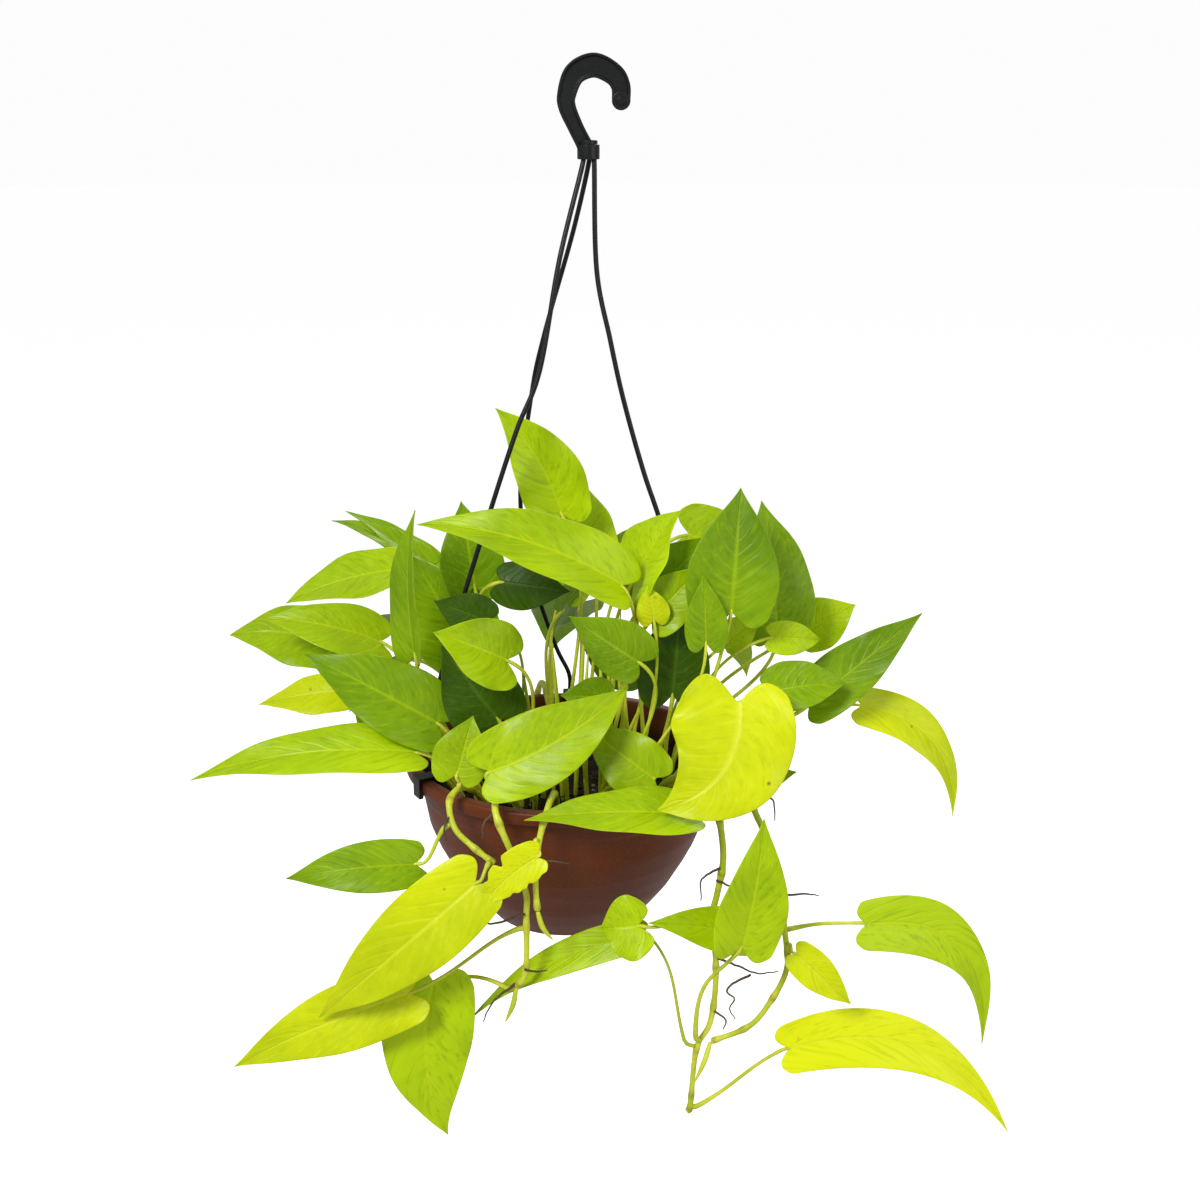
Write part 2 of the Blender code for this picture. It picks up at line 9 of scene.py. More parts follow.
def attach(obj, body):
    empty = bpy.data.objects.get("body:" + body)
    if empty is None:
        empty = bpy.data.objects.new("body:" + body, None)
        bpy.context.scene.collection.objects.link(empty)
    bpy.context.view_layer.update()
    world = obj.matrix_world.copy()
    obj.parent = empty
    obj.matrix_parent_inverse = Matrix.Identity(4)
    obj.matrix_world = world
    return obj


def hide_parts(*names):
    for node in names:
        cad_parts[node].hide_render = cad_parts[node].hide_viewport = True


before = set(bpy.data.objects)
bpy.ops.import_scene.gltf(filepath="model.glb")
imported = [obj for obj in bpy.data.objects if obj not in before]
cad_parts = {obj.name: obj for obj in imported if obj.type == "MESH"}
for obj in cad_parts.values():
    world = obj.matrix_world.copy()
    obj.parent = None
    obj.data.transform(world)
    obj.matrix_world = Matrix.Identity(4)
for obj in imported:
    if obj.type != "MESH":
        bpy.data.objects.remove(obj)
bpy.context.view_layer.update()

# Main sizes, in metres
RIM_Z = -0.4175
AXIS_X = -0.022
RIM_RADIUS = 0.105
FOOT_RADIUS = 0.052
POT_HEIGHT = 0.110
POT_WALL = 0.0020
RIM_SKIRT = 0.0080
FOOT_RECESS = 0.0025
SOIL_Z = RIM_Z - 0.026
DRAIN_HOLES = 6
DRAIN_RADIUS = 0.0035
DRAIN_RING = 0.030
HOOK_THICK = 0.0075
HOOK_FLANGE = 0.0018
VINE_RADIUS = 0.00205
PETIOLE_RADIUS = 0.0014
BLADE_WALL = 0.0006
BLADE_START = 0.0015
STEM_REACH = 0.013
# Stalks and stems leave the soil this many millimetres below the rim
ROOT_DEPTH = 26.5
FRONT = (0, -1, 0.35)

# Steps and turns
LONG = 40
WIDE = 18
CORNER_STEPS = 4
PETIOLE_STEPS = 16
VEIN_WAVES = 56.0
TURN = 6.28


# Node materials
def coat(name, colour, roughness):
    """A new material, with its node tree and its shader."""
    made = bpy.data.materials.new(name)
    made.diffuse_color = (*colour, 1)
    made.use_nodes = True
    tree = made.node_tree
    shader = tree.nodes["Principled BSDF"]
    shader.inputs["Base Color"].default_value = (*colour, 1)
    shader.inputs["Roughness"].default_value = roughness
    return made, tree, shader


def math_node(tree, operation, first, second=None, clamp=False):
    made = tree.nodes.new("ShaderNodeMath")
    made.operation = operation
    made.use_clamp = clamp
    for slot, value in enumerate((first, second)):
        if value is None:
            continue
        if isinstance(value, (int, float)):
            made.inputs[slot].default_value = value
        else:
            tree.links.new(value, made.inputs[slot])
    return made.outputs[0]


def mix_colour(tree, share, low, high):
    made = tree.nodes.new("ShaderNodeMix")
    made.data_type = "RGBA"
    for slot, value in ((0, share), (6, low), (7, high)):
        if isinstance(value, (int, float)):
            made.inputs[slot].default_value = value
        elif isinstance(value, tuple):
            made.inputs[slot].default_value = (*value, 1)
        else:
            tree.links.new(value, made.inputs[slot])
    return made.outputs[2]


def spread(tree, value, low, high, start=0.0, end=1.0):
    """value taken from low..high to start..end, clamped."""
    made = tree.nodes.new("ShaderNodeMapRange")
    tree.links.new(value, made.inputs[0])
    for slot, number in enumerate((low, high, start, end), 1):
        made.inputs[slot].default_value = number
    return made.outputs[0]


def cloud(tree, scale, detail=4.0, rough=0.55, stretch=None):
    """Soft noise on the object's own coordinates."""
    place = tree.nodes.new("ShaderNodeTexCoord")
    source = place.outputs["Object"]
    if stretch:
        mapping = tree.nodes.new("ShaderNodeMapping")
        mapping.inputs["Scale"].default_value = stretch
        tree.links.new(source, mapping.inputs["Vector"])
        source = mapping.outputs[0]
    made = tree.nodes.new("ShaderNodeTexNoise")
    made.inputs["Scale"].default_value = scale
    made.inputs["Detail"].default_value = detail
    made.inputs["Roughness"].default_value = rough
    tree.links.new(source, made.inputs["Vector"])
    return made.outputs["Fac"]


def bump(tree, shader, height, distance, strength=1.0):
    made = tree.nodes.new("ShaderNodeBump")
    made.inputs["Distance"].default_value = distance
    made.inputs["Strength"].default_value = strength
    tree.links.new(height, made.inputs["Height"])
    tree.links.new(made.outputs[0], shader.inputs["Normal"])


def leaf_coat(name, deep, fresh, pale, spots=0.0):
    """Waxy leaf skin: blotches from deep to fresh, a pale midrib, feathered side veins and brown specks."""
    made, tree, shader = coat(name, fresh, 0.38)
    shader.inputs["Subsurface Weight"].default_value = 0.12
    shader.inputs["Subsurface Radius"].default_value = (0.6, 1.0, 0.1)
    shader.inputs["Subsurface Scale"].default_value = 0.002
    shader.inputs["Specular IOR Level"].default_value = 0.2
    chart = tree.nodes.new("ShaderNodeUVMap")
    parts = tree.nodes.new("ShaderNodeSeparateXYZ")
    tree.links.new(chart.outputs[0], parts.inputs[0])
    across = math_node(tree, "SUBTRACT", parts.outputs[0], 0.5)
    side = math_node(tree, "MULTIPLY", math_node(tree, "ABSOLUTE", across), 2.0)
    waver = math_node(tree, "MULTIPLY", cloud(tree, 40.0, 2.0), 0.06)
    shift = math_node(tree, "MULTIPLY", side, 0.30)
    down = math_node(tree, "SUBTRACT", math_node(tree, "ADD", parts.outputs[1], waver), shift)
    wave = math_node(tree, "SINE", math_node(tree, "MULTIPLY", down, VEIN_WAVES))
    lines = math_node(tree, "POWER", spread(tree, wave, -1.0, 1.0), 12.0)
    fade = spread(tree, side, 0.95, 0.15)
    veins = math_node(tree, "MULTIPLY", lines, fade)
    midrib = spread(tree, side, 0.075, 0.015)
    relief = math_node(tree, "MAXIMUM", math_node(tree, "MULTIPLY", veins, 0.5), midrib)
    tone = tree.nodes.new("ShaderNodeAttribute")
    tone.attribute_name = "tone"
    tone_fac = tone.outputs["Fac"]
    broad = spread(tree, cloud(tree, 16.0, 3.0), 0.32, 0.68)
    fine = spread(tree, cloud(tree, 170.0, 5.0, 0.65), 0.3, 0.7)
    share = math_node(tree, "ADD", math_node(tree, "MULTIPLY", broad, 0.45), tone_fac)
    share = math_node(tree, "ADD", share, math_node(tree, "MULTIPLY", fine, 0.14), clamp=True)
    colour = mix_colour(tree, share, deep, fresh)
    grain = tree.nodes.new("ShaderNodeCombineXYZ")
    for slot, (value, scale) in enumerate(((side, 1.3), (down, 26.0), (tone_fac, 40.0))):
        tree.links.new(math_node(tree, "MULTIPLY", value, scale), grain.inputs[slot])
    fleck = tree.nodes.new("ShaderNodeTexNoise")
    fleck.inputs["Scale"].default_value = 1.0
    fleck.inputs["Detail"].default_value = 5.0
    tree.links.new(grain.outputs[0], fleck.inputs["Vector"])
    streak = spread(tree, fleck.outputs["Fac"], 0.56, 0.72)
    colour = mix_colour(tree, math_node(tree, "MULTIPLY", streak, 0.32), colour, pale)
    shadow = spread(tree, fleck.outputs["Fac"], 0.46, 0.30)
    colour = mix_colour(tree, math_node(tree, "MULTIPLY", shadow, 0.42), colour, deep)
    colour = mix_colour(tree, math_node(tree, "MULTIPLY", midrib, 0.38), colour, pale)
    colour = mix_colour(tree, math_node(tree, "MULTIPLY", veins, 0.13), colour, pale)
    edge = spread(tree, side, 0.965, 1.0)
    colour = mix_colour(tree, math_node(tree, "MULTIPLY", edge, 0.25), colour, pale)
    if spots:
        dots = tree.nodes.new("ShaderNodeTexVoronoi")
        dots.inputs["Scale"].default_value = 95.0
        place = tree.nodes.new("ShaderNodeTexCoord")
        tree.links.new(place.outputs["Object"], dots.inputs["Vector"])
        near = spread(tree, dots.outputs["Distance"], 0.16, 0.05)
        chosen = spread(tree, cloud(tree, 60.0, 1.0), 0.60, 0.66)
        colour = mix_colour(
            tree,
            math_node(tree, "MULTIPLY", math_node(tree, "MULTIPLY", near, chosen), spots),
            colour,
            (0.16, 0.10, 0.01),
        )
    tree.links.new(colour, shader.inputs["Base Color"])
    rough = spread(tree, fine, 0.0, 1.0, 0.27, 0.42)
    tree.links.new(rough, shader.inputs["Roughness"])
    height = math_node(tree, "SUBTRACT", math_node(tree, "MULTIPLY", fine, 0.25), relief)
    bump(tree, shader, height, 0.0005, 0.7)
    return made


def stem_coat(name, deep, fresh, scar):
    """Fleshy stem skin with long streaks, speckle and brown scars at the joints."""
    made, tree, shader = coat(name, fresh, 0.42)
    shader.inputs["Subsurface Weight"].default_value = 0.1
    shader.inputs["Subsurface Radius"].default_value = (0.6, 1.0, 0.1)
    shader.inputs["Subsurface Scale"].default_value = 0.002
    streak = spread(tree, cloud(tree, 60.0, 4.0, stretch=(1, 1, 0.25)), 0.3, 0.7)
    speck = spread(tree, cloud(tree, 420.0, 3.0), 0.35, 0.7)
    mark = tree.nodes.new("ShaderNodeAttribute")
    mark.attribute_name = "tone"
    colour = mix_colour(tree, streak, deep, fresh)
    colour = mix_colour(tree, math_node(tree, "MULTIPLY", speck, 0.12), colour, scar)
    bark = math_node(tree, "MULTIPLY", mark.outputs["Fac"], spread(tree, speck, 0, 1, 0.5, 1))
    colour = mix_colour(tree, bark, colour, scar)
    tree.links.new(colour, shader.inputs["Base Color"])
    tree.links.new(spread(tree, speck, 0, 1, 0.36, 0.55), shader.inputs["Roughness"])
    bump(tree, shader, math_node(tree, "ADD", streak, speck), 0.0003, 0.6)
    return made


def moulded_coat(name, base, worn, dust, roughness, streaks):
    """Moulded plastic: flow mottling, rubbed bands, a little dust and a fine orange-peel skin."""
    made, tree, shader = coat(name, base, roughness)
    shader.inputs["Specular IOR Level"].default_value = 0.3
    mottle = spread(tree, cloud(tree, 14.0, 5.0), 0.3, 0.7)
    band = spread(tree, cloud(tree, 9.0, 6.0, 0.7, stretch=streaks), 0.35, 0.75)
    grit = spread(tree, cloud(tree, 520.0, 3.0, 0.7), 0.56, 0.76)
    colour = mix_colour(tree, mottle, base, worn)
    colour = mix_colour(tree, math_node(tree, "MULTIPLY", band, 0.35), colour, worn)
    colour = mix_colour(tree, math_node(tree, "MULTIPLY", grit, 0.22), colour, dust)
    # Soil stain and painted shade: marked vertices, the inside of the pot, are darkened towards near black
    stain_and_shade = tree.nodes.new("ShaderNodeAttribute")
    stain_and_shade.attribute_name = "tone"
    soil_stain_and_painted_shade = math_node(tree, "MULTIPLY", stain_and_shade.outputs["Fac"], spread(tree, mottle, 0, 1, 0.8, 0.97))
    colour = mix_colour(tree, soil_stain_and_painted_shade, colour, (0.006, 0.004, 0.003))
    tree.links.new(colour, shader.inputs["Base Color"])
    rough = math_node(tree, "ADD", math_node(tree, "MULTIPLY", band, 0.14), roughness - 0.06)
    tree.links.new(rough, shader.inputs["Roughness"])
    skin = math_node(tree, "ADD", cloud(tree, 900.0, 2.0), math_node(tree, "MULTIPLY", band, 0.6))
    bump(tree, shader, skin, 0.00018, 0.6)
    return made


def earth_coat(name, deep, light, scale):
    made, tree, shader = coat(name, deep, 0.92)
    shader.inputs["Specular IOR Level"].default_value = 0.2
    crumb = spread(tree, cloud(tree, scale, 8.0, 0.75), 0.35, 0.72)
    grain = spread(tree, cloud(tree, scale * 5, 4.0, 0.7), 0.4, 0.7)
    colour = mix_colour(tree, crumb, deep, light)
    colour = mix_colour(tree, math_node(tree, "MULTIPLY", grain, 0.3), colour, light)
    tree.links.new(colour, shader.inputs["Base Color"])
    tree.links.new(spread(tree, grain, 0, 1, 0.8, 0.98), shader.inputs["Roughness"])
    bump(tree, shader, math_node(tree, "ADD", crumb, grain), 0.0012, 0.9)
    return made


TONES = {
    "lime": leaf_coat("lime_leaf", (0.17, 0.31, 0.001), (0.49, 0.68, 0.001), (0.62, 0.75, 0.006)),
    "yellow": leaf_coat(
        "yellow_leaf", (0.42, 0.54, 0.001), (0.80, 0.87, 0.001), (0.84, 0.88, 0.04), 0.8
    ),
    "green": leaf_coat("green_leaf", (0.085, 0.19, 0.001), (0.28, 0.46, 0.001), (0.46, 0.64, 0.006)),
    "dark": leaf_coat("shaded_leaf", (0.020, 0.058, 0.002), (0.07, 0.15, 0.003), (0.14, 0.23, 0.015)),
}
STEM = stem_coat("green_stem", (0.46, 0.56, 0.006), (0.82, 0.86, 0.06), (0.20, 0.11, 0.02))
ROOT = stem_coat("aerial_root", (0.05, 0.03, 0.015), (0.12, 0.08, 0.03), (0.02, 0.012, 0.008))
BROWN = moulded_coat(
    "terracotta_plastic", (0.105, 0.019, 0.003), (0.17, 0.036, 0.008), (0.30, 0.15, 0.09), 0.42, (1, 1, 9)
)
BLACK = moulded_coat(
    "black_plastic", (0.003, 0.0035, 0.0035), (0.007, 0.0075, 0.008), (0.05, 0.05, 0.05), 0.34, (1, 1, 3)
)
EARTH = earth_coat("peat_soil", (0.006, 0.004, 0.003), (0.045, 0.028, 0.016), 140.0)
BARK = earth_coat("bark_crumbs", (0.012, 0.007, 0.004), (0.075, 0.042, 0.020), 260.0)
PERLITE = earth_coat("perlite_grains", (0.34, 0.31, 0.26), (0.72, 0.70, 0.64), 300.0)


# Shape helpers
def fresh():
    """An empty mesh with a chart and a tone value ready for its parts."""
    work = bmesh.new()
    work.loops.layers.uv.new("UVMap")
    work.verts.layers.float.new("tone")
    return work


def at(x, y, z):
    """Millimetres from the centre of the rim, as metres in the frame."""
    return Vector((AXIS_X + x / 1000, y / 1000, RIM_Z + z / 1000))


def through(points, samples):
    """Points along a smooth curve through the given ones."""
    ends = [points[0] * 2 - points[1]] + points + [points[-1] * 2 - points[-2]]
    out = []
    for i in range(1, len(ends) - 2):
        p0, p1, p2, p3 = ends[i - 1 : i + 3]
        for k in range(samples):
            t = k / samples
            out.append(
                0.5
                * (
                    p1 * 2
                    + (p2 - p0) * t
                    + (p0 * 2 - p1 * 5 + p2 * 4 - p3) * t * t
                    + (p1 * 3 - p0 - p2 * 3 + p3) * t**3
                )
            )
    out.append(points[-1])
    return out


def skin(work, rows, around=False):
    """A grid laid onto rows of points. With around, each row is a closed ring and both ends are capped."""
    count = len(rows[0]) + (1 if around else 0)
    made = bmesh.ops.create_grid(
        work, x_segments=count - 1, y_segments=len(rows) - 1, size=1
    )["verts"]
    chart = work.loops.layers.uv["UVMap"]
    spot = {}
    for i, vert in enumerate(made):
        row, column = divmod(i, count)
        vert.co = rows[row][column % len(rows[0])]
        spot[vert] = (column / (count - 1), row / (len(rows) - 1))
    for face in {face for vert in made for face in vert.link_faces}:
        for loop in face.loops:
            loop[chart].uv = spot[loop.vert]
    if around:
        bmesh.ops.remove_doubles(work, verts=made, dist=1e-7)
        made = [vert for vert in made if vert.is_valid]
        rim = {edge for vert in made for edge in vert.link_edges if edge.is_boundary}
        if rim:
            bmesh.ops.holes_fill(work, edges=list(rim), sides=0)
    return made


def piece(name, work, finish, slot, *nodes, closed=True, bevel=0.0, wall=0.0, levels=0):
    """Makes the object, puts it on the part's body and hides the imported nodes that it stands for."""
    if closed:
        bmesh.ops.recalc_face_normals(work, faces=work.faces)
    mesh = bpy.data.meshes.new(name)
    work.to_mesh(mesh)
    work.free()
    for face in mesh.polygons:
        face.use_smooth = True
    obj = bpy.data.objects.new(name, mesh)
    bpy.context.scene.collection.objects.link(obj)
    mesh.materials.append(finish)
    if bevel:
        step = obj.modifiers.new("Rounded edges", "BEVEL")
        step.width = bevel
        step.segments = 2
        step.limit_method = "ANGLE"
        step.angle_limit = math.radians(35)
        step.harden_normals = True
    if wall:
        step = obj.modifiers.new("Thickness", "SOLIDIFY")
        step.thickness = wall
        step.offset = 0
    if levels:
        step = obj.modifiers.new("Smooth", "SUBSURF")
        step.levels = levels
        step.render_levels = levels
    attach(obj, "root")
    if nodes:
        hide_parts(*nodes)
    return obj


def tube(work, path, radii, sides=10, flat=1.0, marks=None):
    """A round stem down a path of points, with its own radius at each."""
    rows = []
    up = Vector((0.2, -0.9, 0.3))
    for i, point in enumerate(path):
        run = (path[min(i + 1, len(path) - 1)] - path[max(i - 1, 0)]).normalized()
        up = (up - run * up.dot(run)).normalized()
        side = run.cross(up)
        ring = []
        for k in range(sides):
            turn = 2 * math.pi * k / sides
            ring.append(
                point + (side * math.cos(turn) * flat + up * math.sin(turn)) * radii[i]
            )
        rows.append(ring)
    made = skin(work, rows, around=True)
    if marks is not None:
        layer = work.verts.layers.float["tone"]
        for vert in made:
            if vert.is_valid:
                near = min(range(len(path)), key=lambda i: (path[i] - vert.co).length_squared)
                vert[layer] = marks[near]
    return made


def turned(work, profile, steps):
    """A profile of (radius, height) spun round the pot's axis."""
    verts = [work.verts.new((AXIS_X + r, 0, z)) for r, z in profile]
    edges = [work.edges.new(pair) for pair in zip(verts, verts[1:])]
    bmesh.ops.spin(
        work,
        geom=verts + edges,
        cent=(AXIS_X, 0, 0),
        axis=(0, 0, 1),
        angle=2 * math.pi,
        steps=steps,
        use_merge=True,
    )
    bmesh.ops.remove_doubles(work, verts=work.verts, dist=1e-6)


def softened(points, radius):
    """The same outline with each corner rounded."""
    out = [points[0]]
    for before, corner, after in zip(points, points[1:], points[2:]):
        a, b, c = Vector(before), Vector(corner), Vector(after)
        start = b + (a - b).normalized() * min(radius, (a - b).length * 0.45)
        end = b + (c - b).normalized() * min(radius, (c - b).length * 0.45)
        for k in range(CORNER_STEPS + 1):
            t = k / CORNER_STEPS
            spot = start * (1 - t) ** 2 + b * (2 * t * (1 - t)) + end * t * t
            out.append(tuple(spot))
    out.append(points[-1])
    return out


# Hanger arms from the block to the rim, in millimetres from the centre of the rim
ARM_SHAPES = {
    "arm_left": ((-2, -12, 315), (-14, -22, 251), (-28, -28, 216), (-45, -35, 166),
                 (-63, -42, 110), (-80, -47, 50)),
    "arm_back": ((5, 28, 327), (-14, 55, 262), (-23, 68, 222), (-32, 80, 152),
                 (-26, 90, 95), (-10, 96, 40)),
    "arm_right": ((20, -8, 309), (28, -16, 269), (36, -22, 234), (48, -28, 192),
                  (62, -36, 150), (79, -45, 80)),
}


VINES = {
    "vine_right": ((50, -50), (58, -60, -4), (70, -66, 8), (82, -74, 8), (92, -84, -4),
                   (96, -88, -22), (97, -88, -40), (94, -88, -60), (91, -88, -78),
                   (94, -88, -105), (94, -88, -130), (91, -88, -152), (83, -88, -170),
                   (80, -88, -210), (78, -88, -215)),
    "vine_far_right": ((62, -28), (76, -26, -2), (96, -28, 8), (112, -42, 8), (116, -62, 2),
                       (116, -78, -8), (124, -85, -25), (131, -90, -50), (136, -90, -84),
                       (138, -90, -112), (126, -90, -139), (114, -90, -153), (92, -88, -164)),
    "vine_left": ((-25, -60), (-32, -74, -2), (-38, -90, 8), (-40, -107, 7), (-37, -114, -2),
                  (-29, -116, -22), (-22, -116, -45), (-22, -115, -62), (-23, -113, -99),
                  (-29, -111, -111)),
    "vine_front": ((-4, -58), (-5, -76, -2), (-6, -94, 8), (-9, -110, 6), (-14, -118, -12),
                   (-16, -120, -35), (-15, -122, -54)),
    "vine_far_left": ((-46, -46), (-55, -66, -2), (-63, -84, 8), (-68, -96, 4),
                      (-64, -106, -8), (-52, -112, -18), (-40, -116, -26)),
    "vine_rear": ((-10, 60), (-14, 78, 0), (-18, 98, 8), (-22, 112, 2), (-26, 118, -25),
                  (-22, 120, -60), (-30, 119, -95), (-26, 118, -130)),
}
LEAVES = {
    "leaf_crown": ((-2, -2), (-2, 5, 156), (-42, -5, 226), 48, (0.3, -1, 0.2), 20, 0.02, 0.06, 0,
        "lime", None),
    "leaf_crown_right": ((12, 12), (17, 25, 122), (6, 35, 178), 46, (0.4, -1, 0.2), 15, 0.02, -0.05, 0,
        "lime", None),
    "leaf_lime_top": ((30, -34), (42, -55, 130), (68, -61, 176), 50, (-1, -0.8, 0.5), 20, 0.03, 0.0, 0,
        "lime", None),
    "leaf_top_right": ((52, 8), (77, 0, 145), (124, 10, 124), 46, (-0.2, -1, 0.7), 10, 0.06, 0.0, 0,
        "lime", None),
    "leaf_big_right": ((62, -50), (99, -79, 117), (104, -65, 190), 58, FRONT, 15, 0.03, 0.0, 0, "green",
        (80, -72, 50)),
    "leaf_adj_right": ((66, -8), (131, -40, 96), (121, -25, 173), 54, (0.3, -1, 0.3), 10, 0.03,
        0.0, 0, "green", None),
    "leaf_heart_up": ((40, -62), (84, -87, 100), (82, -84, 142), 28, FRONT, 20, 0.02, 0.0, 0, "green",
        None),
    "leaf_bright_right": ((70, 14), (152, 2, 79), (186, 2, 98), 36, FRONT, 5, 0.05, 0.0, 0, "lime",
        None),
    "leaf_far_right": ((74, 4), (150, -50, 48), (222, -30, 103), 38, (-0.2, -1, 0.6), 15, -0.02, 0.0, 0,
        "green", None),
    "leaf_droop_right": ((80, 12), (186, -30, 42), (250, -40, -32), 31, (0.6, -1, 0.5), 10, 0.06, -0.20,
        0, "yellow", None),
    "leaf_front_heart": ((66, -18), (103, -103, 71), (54, -125, 12), 76, FRONT, 5, 0.06, -0.20, 0,
        "yellow", (108, -50, 35)),
    "leaf_triangle": ((14, -52), (56, -82, 13), (12, -65, 41), 40, FRONT, 10, 0.04, 0.0, 0,
        "lime", (30, -70, 20)),
    "leaf_long_left": ((-62, -36), (-89, -70, 26), (-230, -70, 7), 38, (0, -0.7, 1), 15, 0.10, 0.0, 0,
        "lime", (-74, -64, 16)),
    "leaf_green_left": ((-56, -30), (-76, -60, 40), (-159, -55, 85), 50, (0, -1, 0.7), 15, 0.03,
        0.0, 0, "green", (-62, -48, 10)),
    "leaf_yellow_left": ((-70, -18), (-138, -15, 46), (-198, -10, 34), 32, (0, -0.8, 0.8), 10,
        0.05, 0.0, 30, "yellow", (-100, -18, 20)),
    "leaf_far_left": ((-64, 14), (-151, 22, 66), (-221, 15, 74), 50, (0, -0.7, 0.8), 5, 0.10, 0.0,
        0, "lime", (-100, 20, 30)),
    "leaf_mid_left": ((-62, -10), (-117, -5, 75), (-191, -15, 94), 40, (0, -0.8, 0.8), 15, 0.10,
        0.0, 0, "lime", (-90, -6, 40)),
    "leaf_back_left": ((-46, 22), (-109, 21, 116), (-183, 18, 94), 44, (0, -0.6, 1), 15, 0.06,
        0.0, 0, "lime", (-70, 22, 70)),
    "leaf_narrow": ((-52, -24), (-91, -50, 81), (-91, -45, 172), 34, (-0.9, -0.8, 0.2), 25, 0.04, 0.0,
        0, "green", (-84, -34, 50)),
    "leaf_thin_back": ((-36, 34), (-74, 44, 96), (-147, 58, 149), 28, (0, -0.4, 1), 20, 0.04, 0.0, 0,
        "green", None),
    "leaf_olive": ((-40, 6), (-63, 10, 64), (-99, 15, 127), 60, FRONT, 10, 0.02, 0.0, 0, "green", None),
    "leaf_long_centre": ((22, -50), (36, -80, 134), (-85, -86, 176), 46, (0.1, -0.8, 0.8), 20, 0.12,
        0.0, 0, "lime", (30, -62, 70)),
    "leaf_peak": ((-26, 4), (-58, 5, 108), (-66, 10, 164), 44, FRONT, 15, 0.02, 0.0, 0, "green", None),
    "leaf_dark_centre": ((-14, -26), (-40, -25, 121), (4, -30, 116), 32, FRONT, -10, 0.04, 0.0, 0,
        "dark", None),
    "leaf_light_centre": ((-28, -44), (-33, -68, 84), (-76, -82, 107), 46, (0.1, -1, 0.6), 20,
        0.06, 0.0, 0, "lime", None),
    "leaf_dark_low": ((-36, -34), (-40, -58, 42), (-74, -62, 92), 50, FRONT, 10, 0.03, 0.0, 0,
        "dark", None),
    "leaf_fan": ((34, -58), (46, -84, 88), (4, -96, 121), 36, (0.1, -1, 0.2), 5, 0.05, 0.0, 0, "green",
        None),
    "leaf_dark_right": ((54, -40), (66, -58, 57), (71, -62, 122), 46, FRONT, 5, 0.02, 0.0, 0,
        "dark", None),
    "leaf_mid_right": ((42, -30), (49, -48, 114), (89, -44, 156), 44, FRONT, 15, 0.04, 0.0, 0,
        "green", None),
    "leaf_rear_left": ((-44, 44), (-92, 88, 62), (-160, 132, 22), 52, (-0.3, 0.5, 1), 12, 0.10,
        0.0, 0, "green", None),
    "leaf_rear_centre": ((6, 52), (4, 112, 66), (-16, 172, 8), 54, (0, 0.6, 0.9), 12, 0.10, 0.0,
        0, "green", None),
    "leaf_rear_right": ((44, 44), (88, 92, 58), (132, 132, 4), 52, (0.4, 0.5, 0.9), 12, 0.10, 0.0,
        0, "lime", None),
}
TRAILING = {
    "leaf_rim_front": ((80, -77.8, 9), (77, -112, 4), (-23, -122, 6), 36, (0, -0.6, 1), 15, 0.04,
        0.0, 0, "lime", None),
    "leaf_small_front": ((-62, -86, 12.6), (-64, -88, 18), (-54, -78, 53), 36, FRONT, 10, 0.03,
        0.0, 0, "lime", None),
    "leaf_front_centre": ((-42, -97.5, 12.8), (-44, -102, 26), (40, -79, 73), 50, (0, -1, 0.5),
        12, 0.05, 0.06, 0, "lime", None),
    "leaf_under_heart": ((92.5, -84.8, 1.5), (93, -97, 10), (138, -104, 28), 32, (0, -0.8, 1), 5,
        0.05, 0.0, 0, "green", None),
    "leaf_t_green": ((-70.5, -104, -8), (-87, -106, -31), (-166, -112, -38), 34, (0, -1, 0.7), 15, 0.12,
        0.0, 0, "green", None),
    "leaf_t_long": ((-44, -120, -25), (-50, -126, -33), (-150, -128, -125), 50, FRONT, 8, 0.06, 0.0, 0,
        "yellow", None),
    "leaf_t_lower": ((-26, -113, -70), (-92, -116, -112), (-205, -116, -165), 44, FRONT, 10, 0.04,
        0.03, 0, "yellow", (-50, -112, -80)),
    "leaf_t_heart": ((-33, -111, -113), (-80, -104, -111), (-74, -104, -223), 60, FRONT, 10, 0.04,
        0.08, 0, "lime", (-58, -91, -108)),
    "leaf_t_twist": ((76, -91, -165), (50, -100, -80), (-62, -97, -142), 24, (0, -1, 0.7), 15, 0.03,
        0.06, 60, "lime", (66, -98, -125)),
    "leaf_t_small": ((88, -92, -72), (46, -110, -70), (22, -104, -75), 42, FRONT, 12, 0.08, 0.0, 0,
        "lime", None),
    "leaf_t_front": ((82, -94, -160), (106, -124, -78), (118, -122, 6), 46, (0.2, -1, 0.2), 15,
        0.06, 0.0, 0, "lime", (80, -104, -105)),
    "leaf_t_tip": ((139, -94, -92), (141, -104, -92), (177, -108, -126), 24, FRONT, 10, 0.04, 0.0, 0,
        "yellow", None),
    "leaf_t_right": ((141, -88, -84), (185, -90, -79), (268, -82, -172), 38, (0.5, -1, 0.5), 10, 0.06,
        -0.26, 0, "lime", (160, -90, -78)),
    "leaf_rear_drop": ((-26, 125, -62), (-42, 130, -66), (-92, 152, -138), 50, (-0.2, 1, 0.4), 12,
        0.06, 0.0, 0, "green", None),
    "leaf_rear_low": ((-24, 124, -112), (-8, 130, -112), (28, 142, -184), 48, (0.2, 1, 0.4), 12,
        0.06, 0.0, 0, "lime", None),
    "leaf_t_low_right": ((84, -88, -212), (139, -98, -162), (285, -97, -227), 38, (0.3, -1, 0.6), 10,
        0.05, -0.18, 0, "yellow", (112, -92, -190)),
}
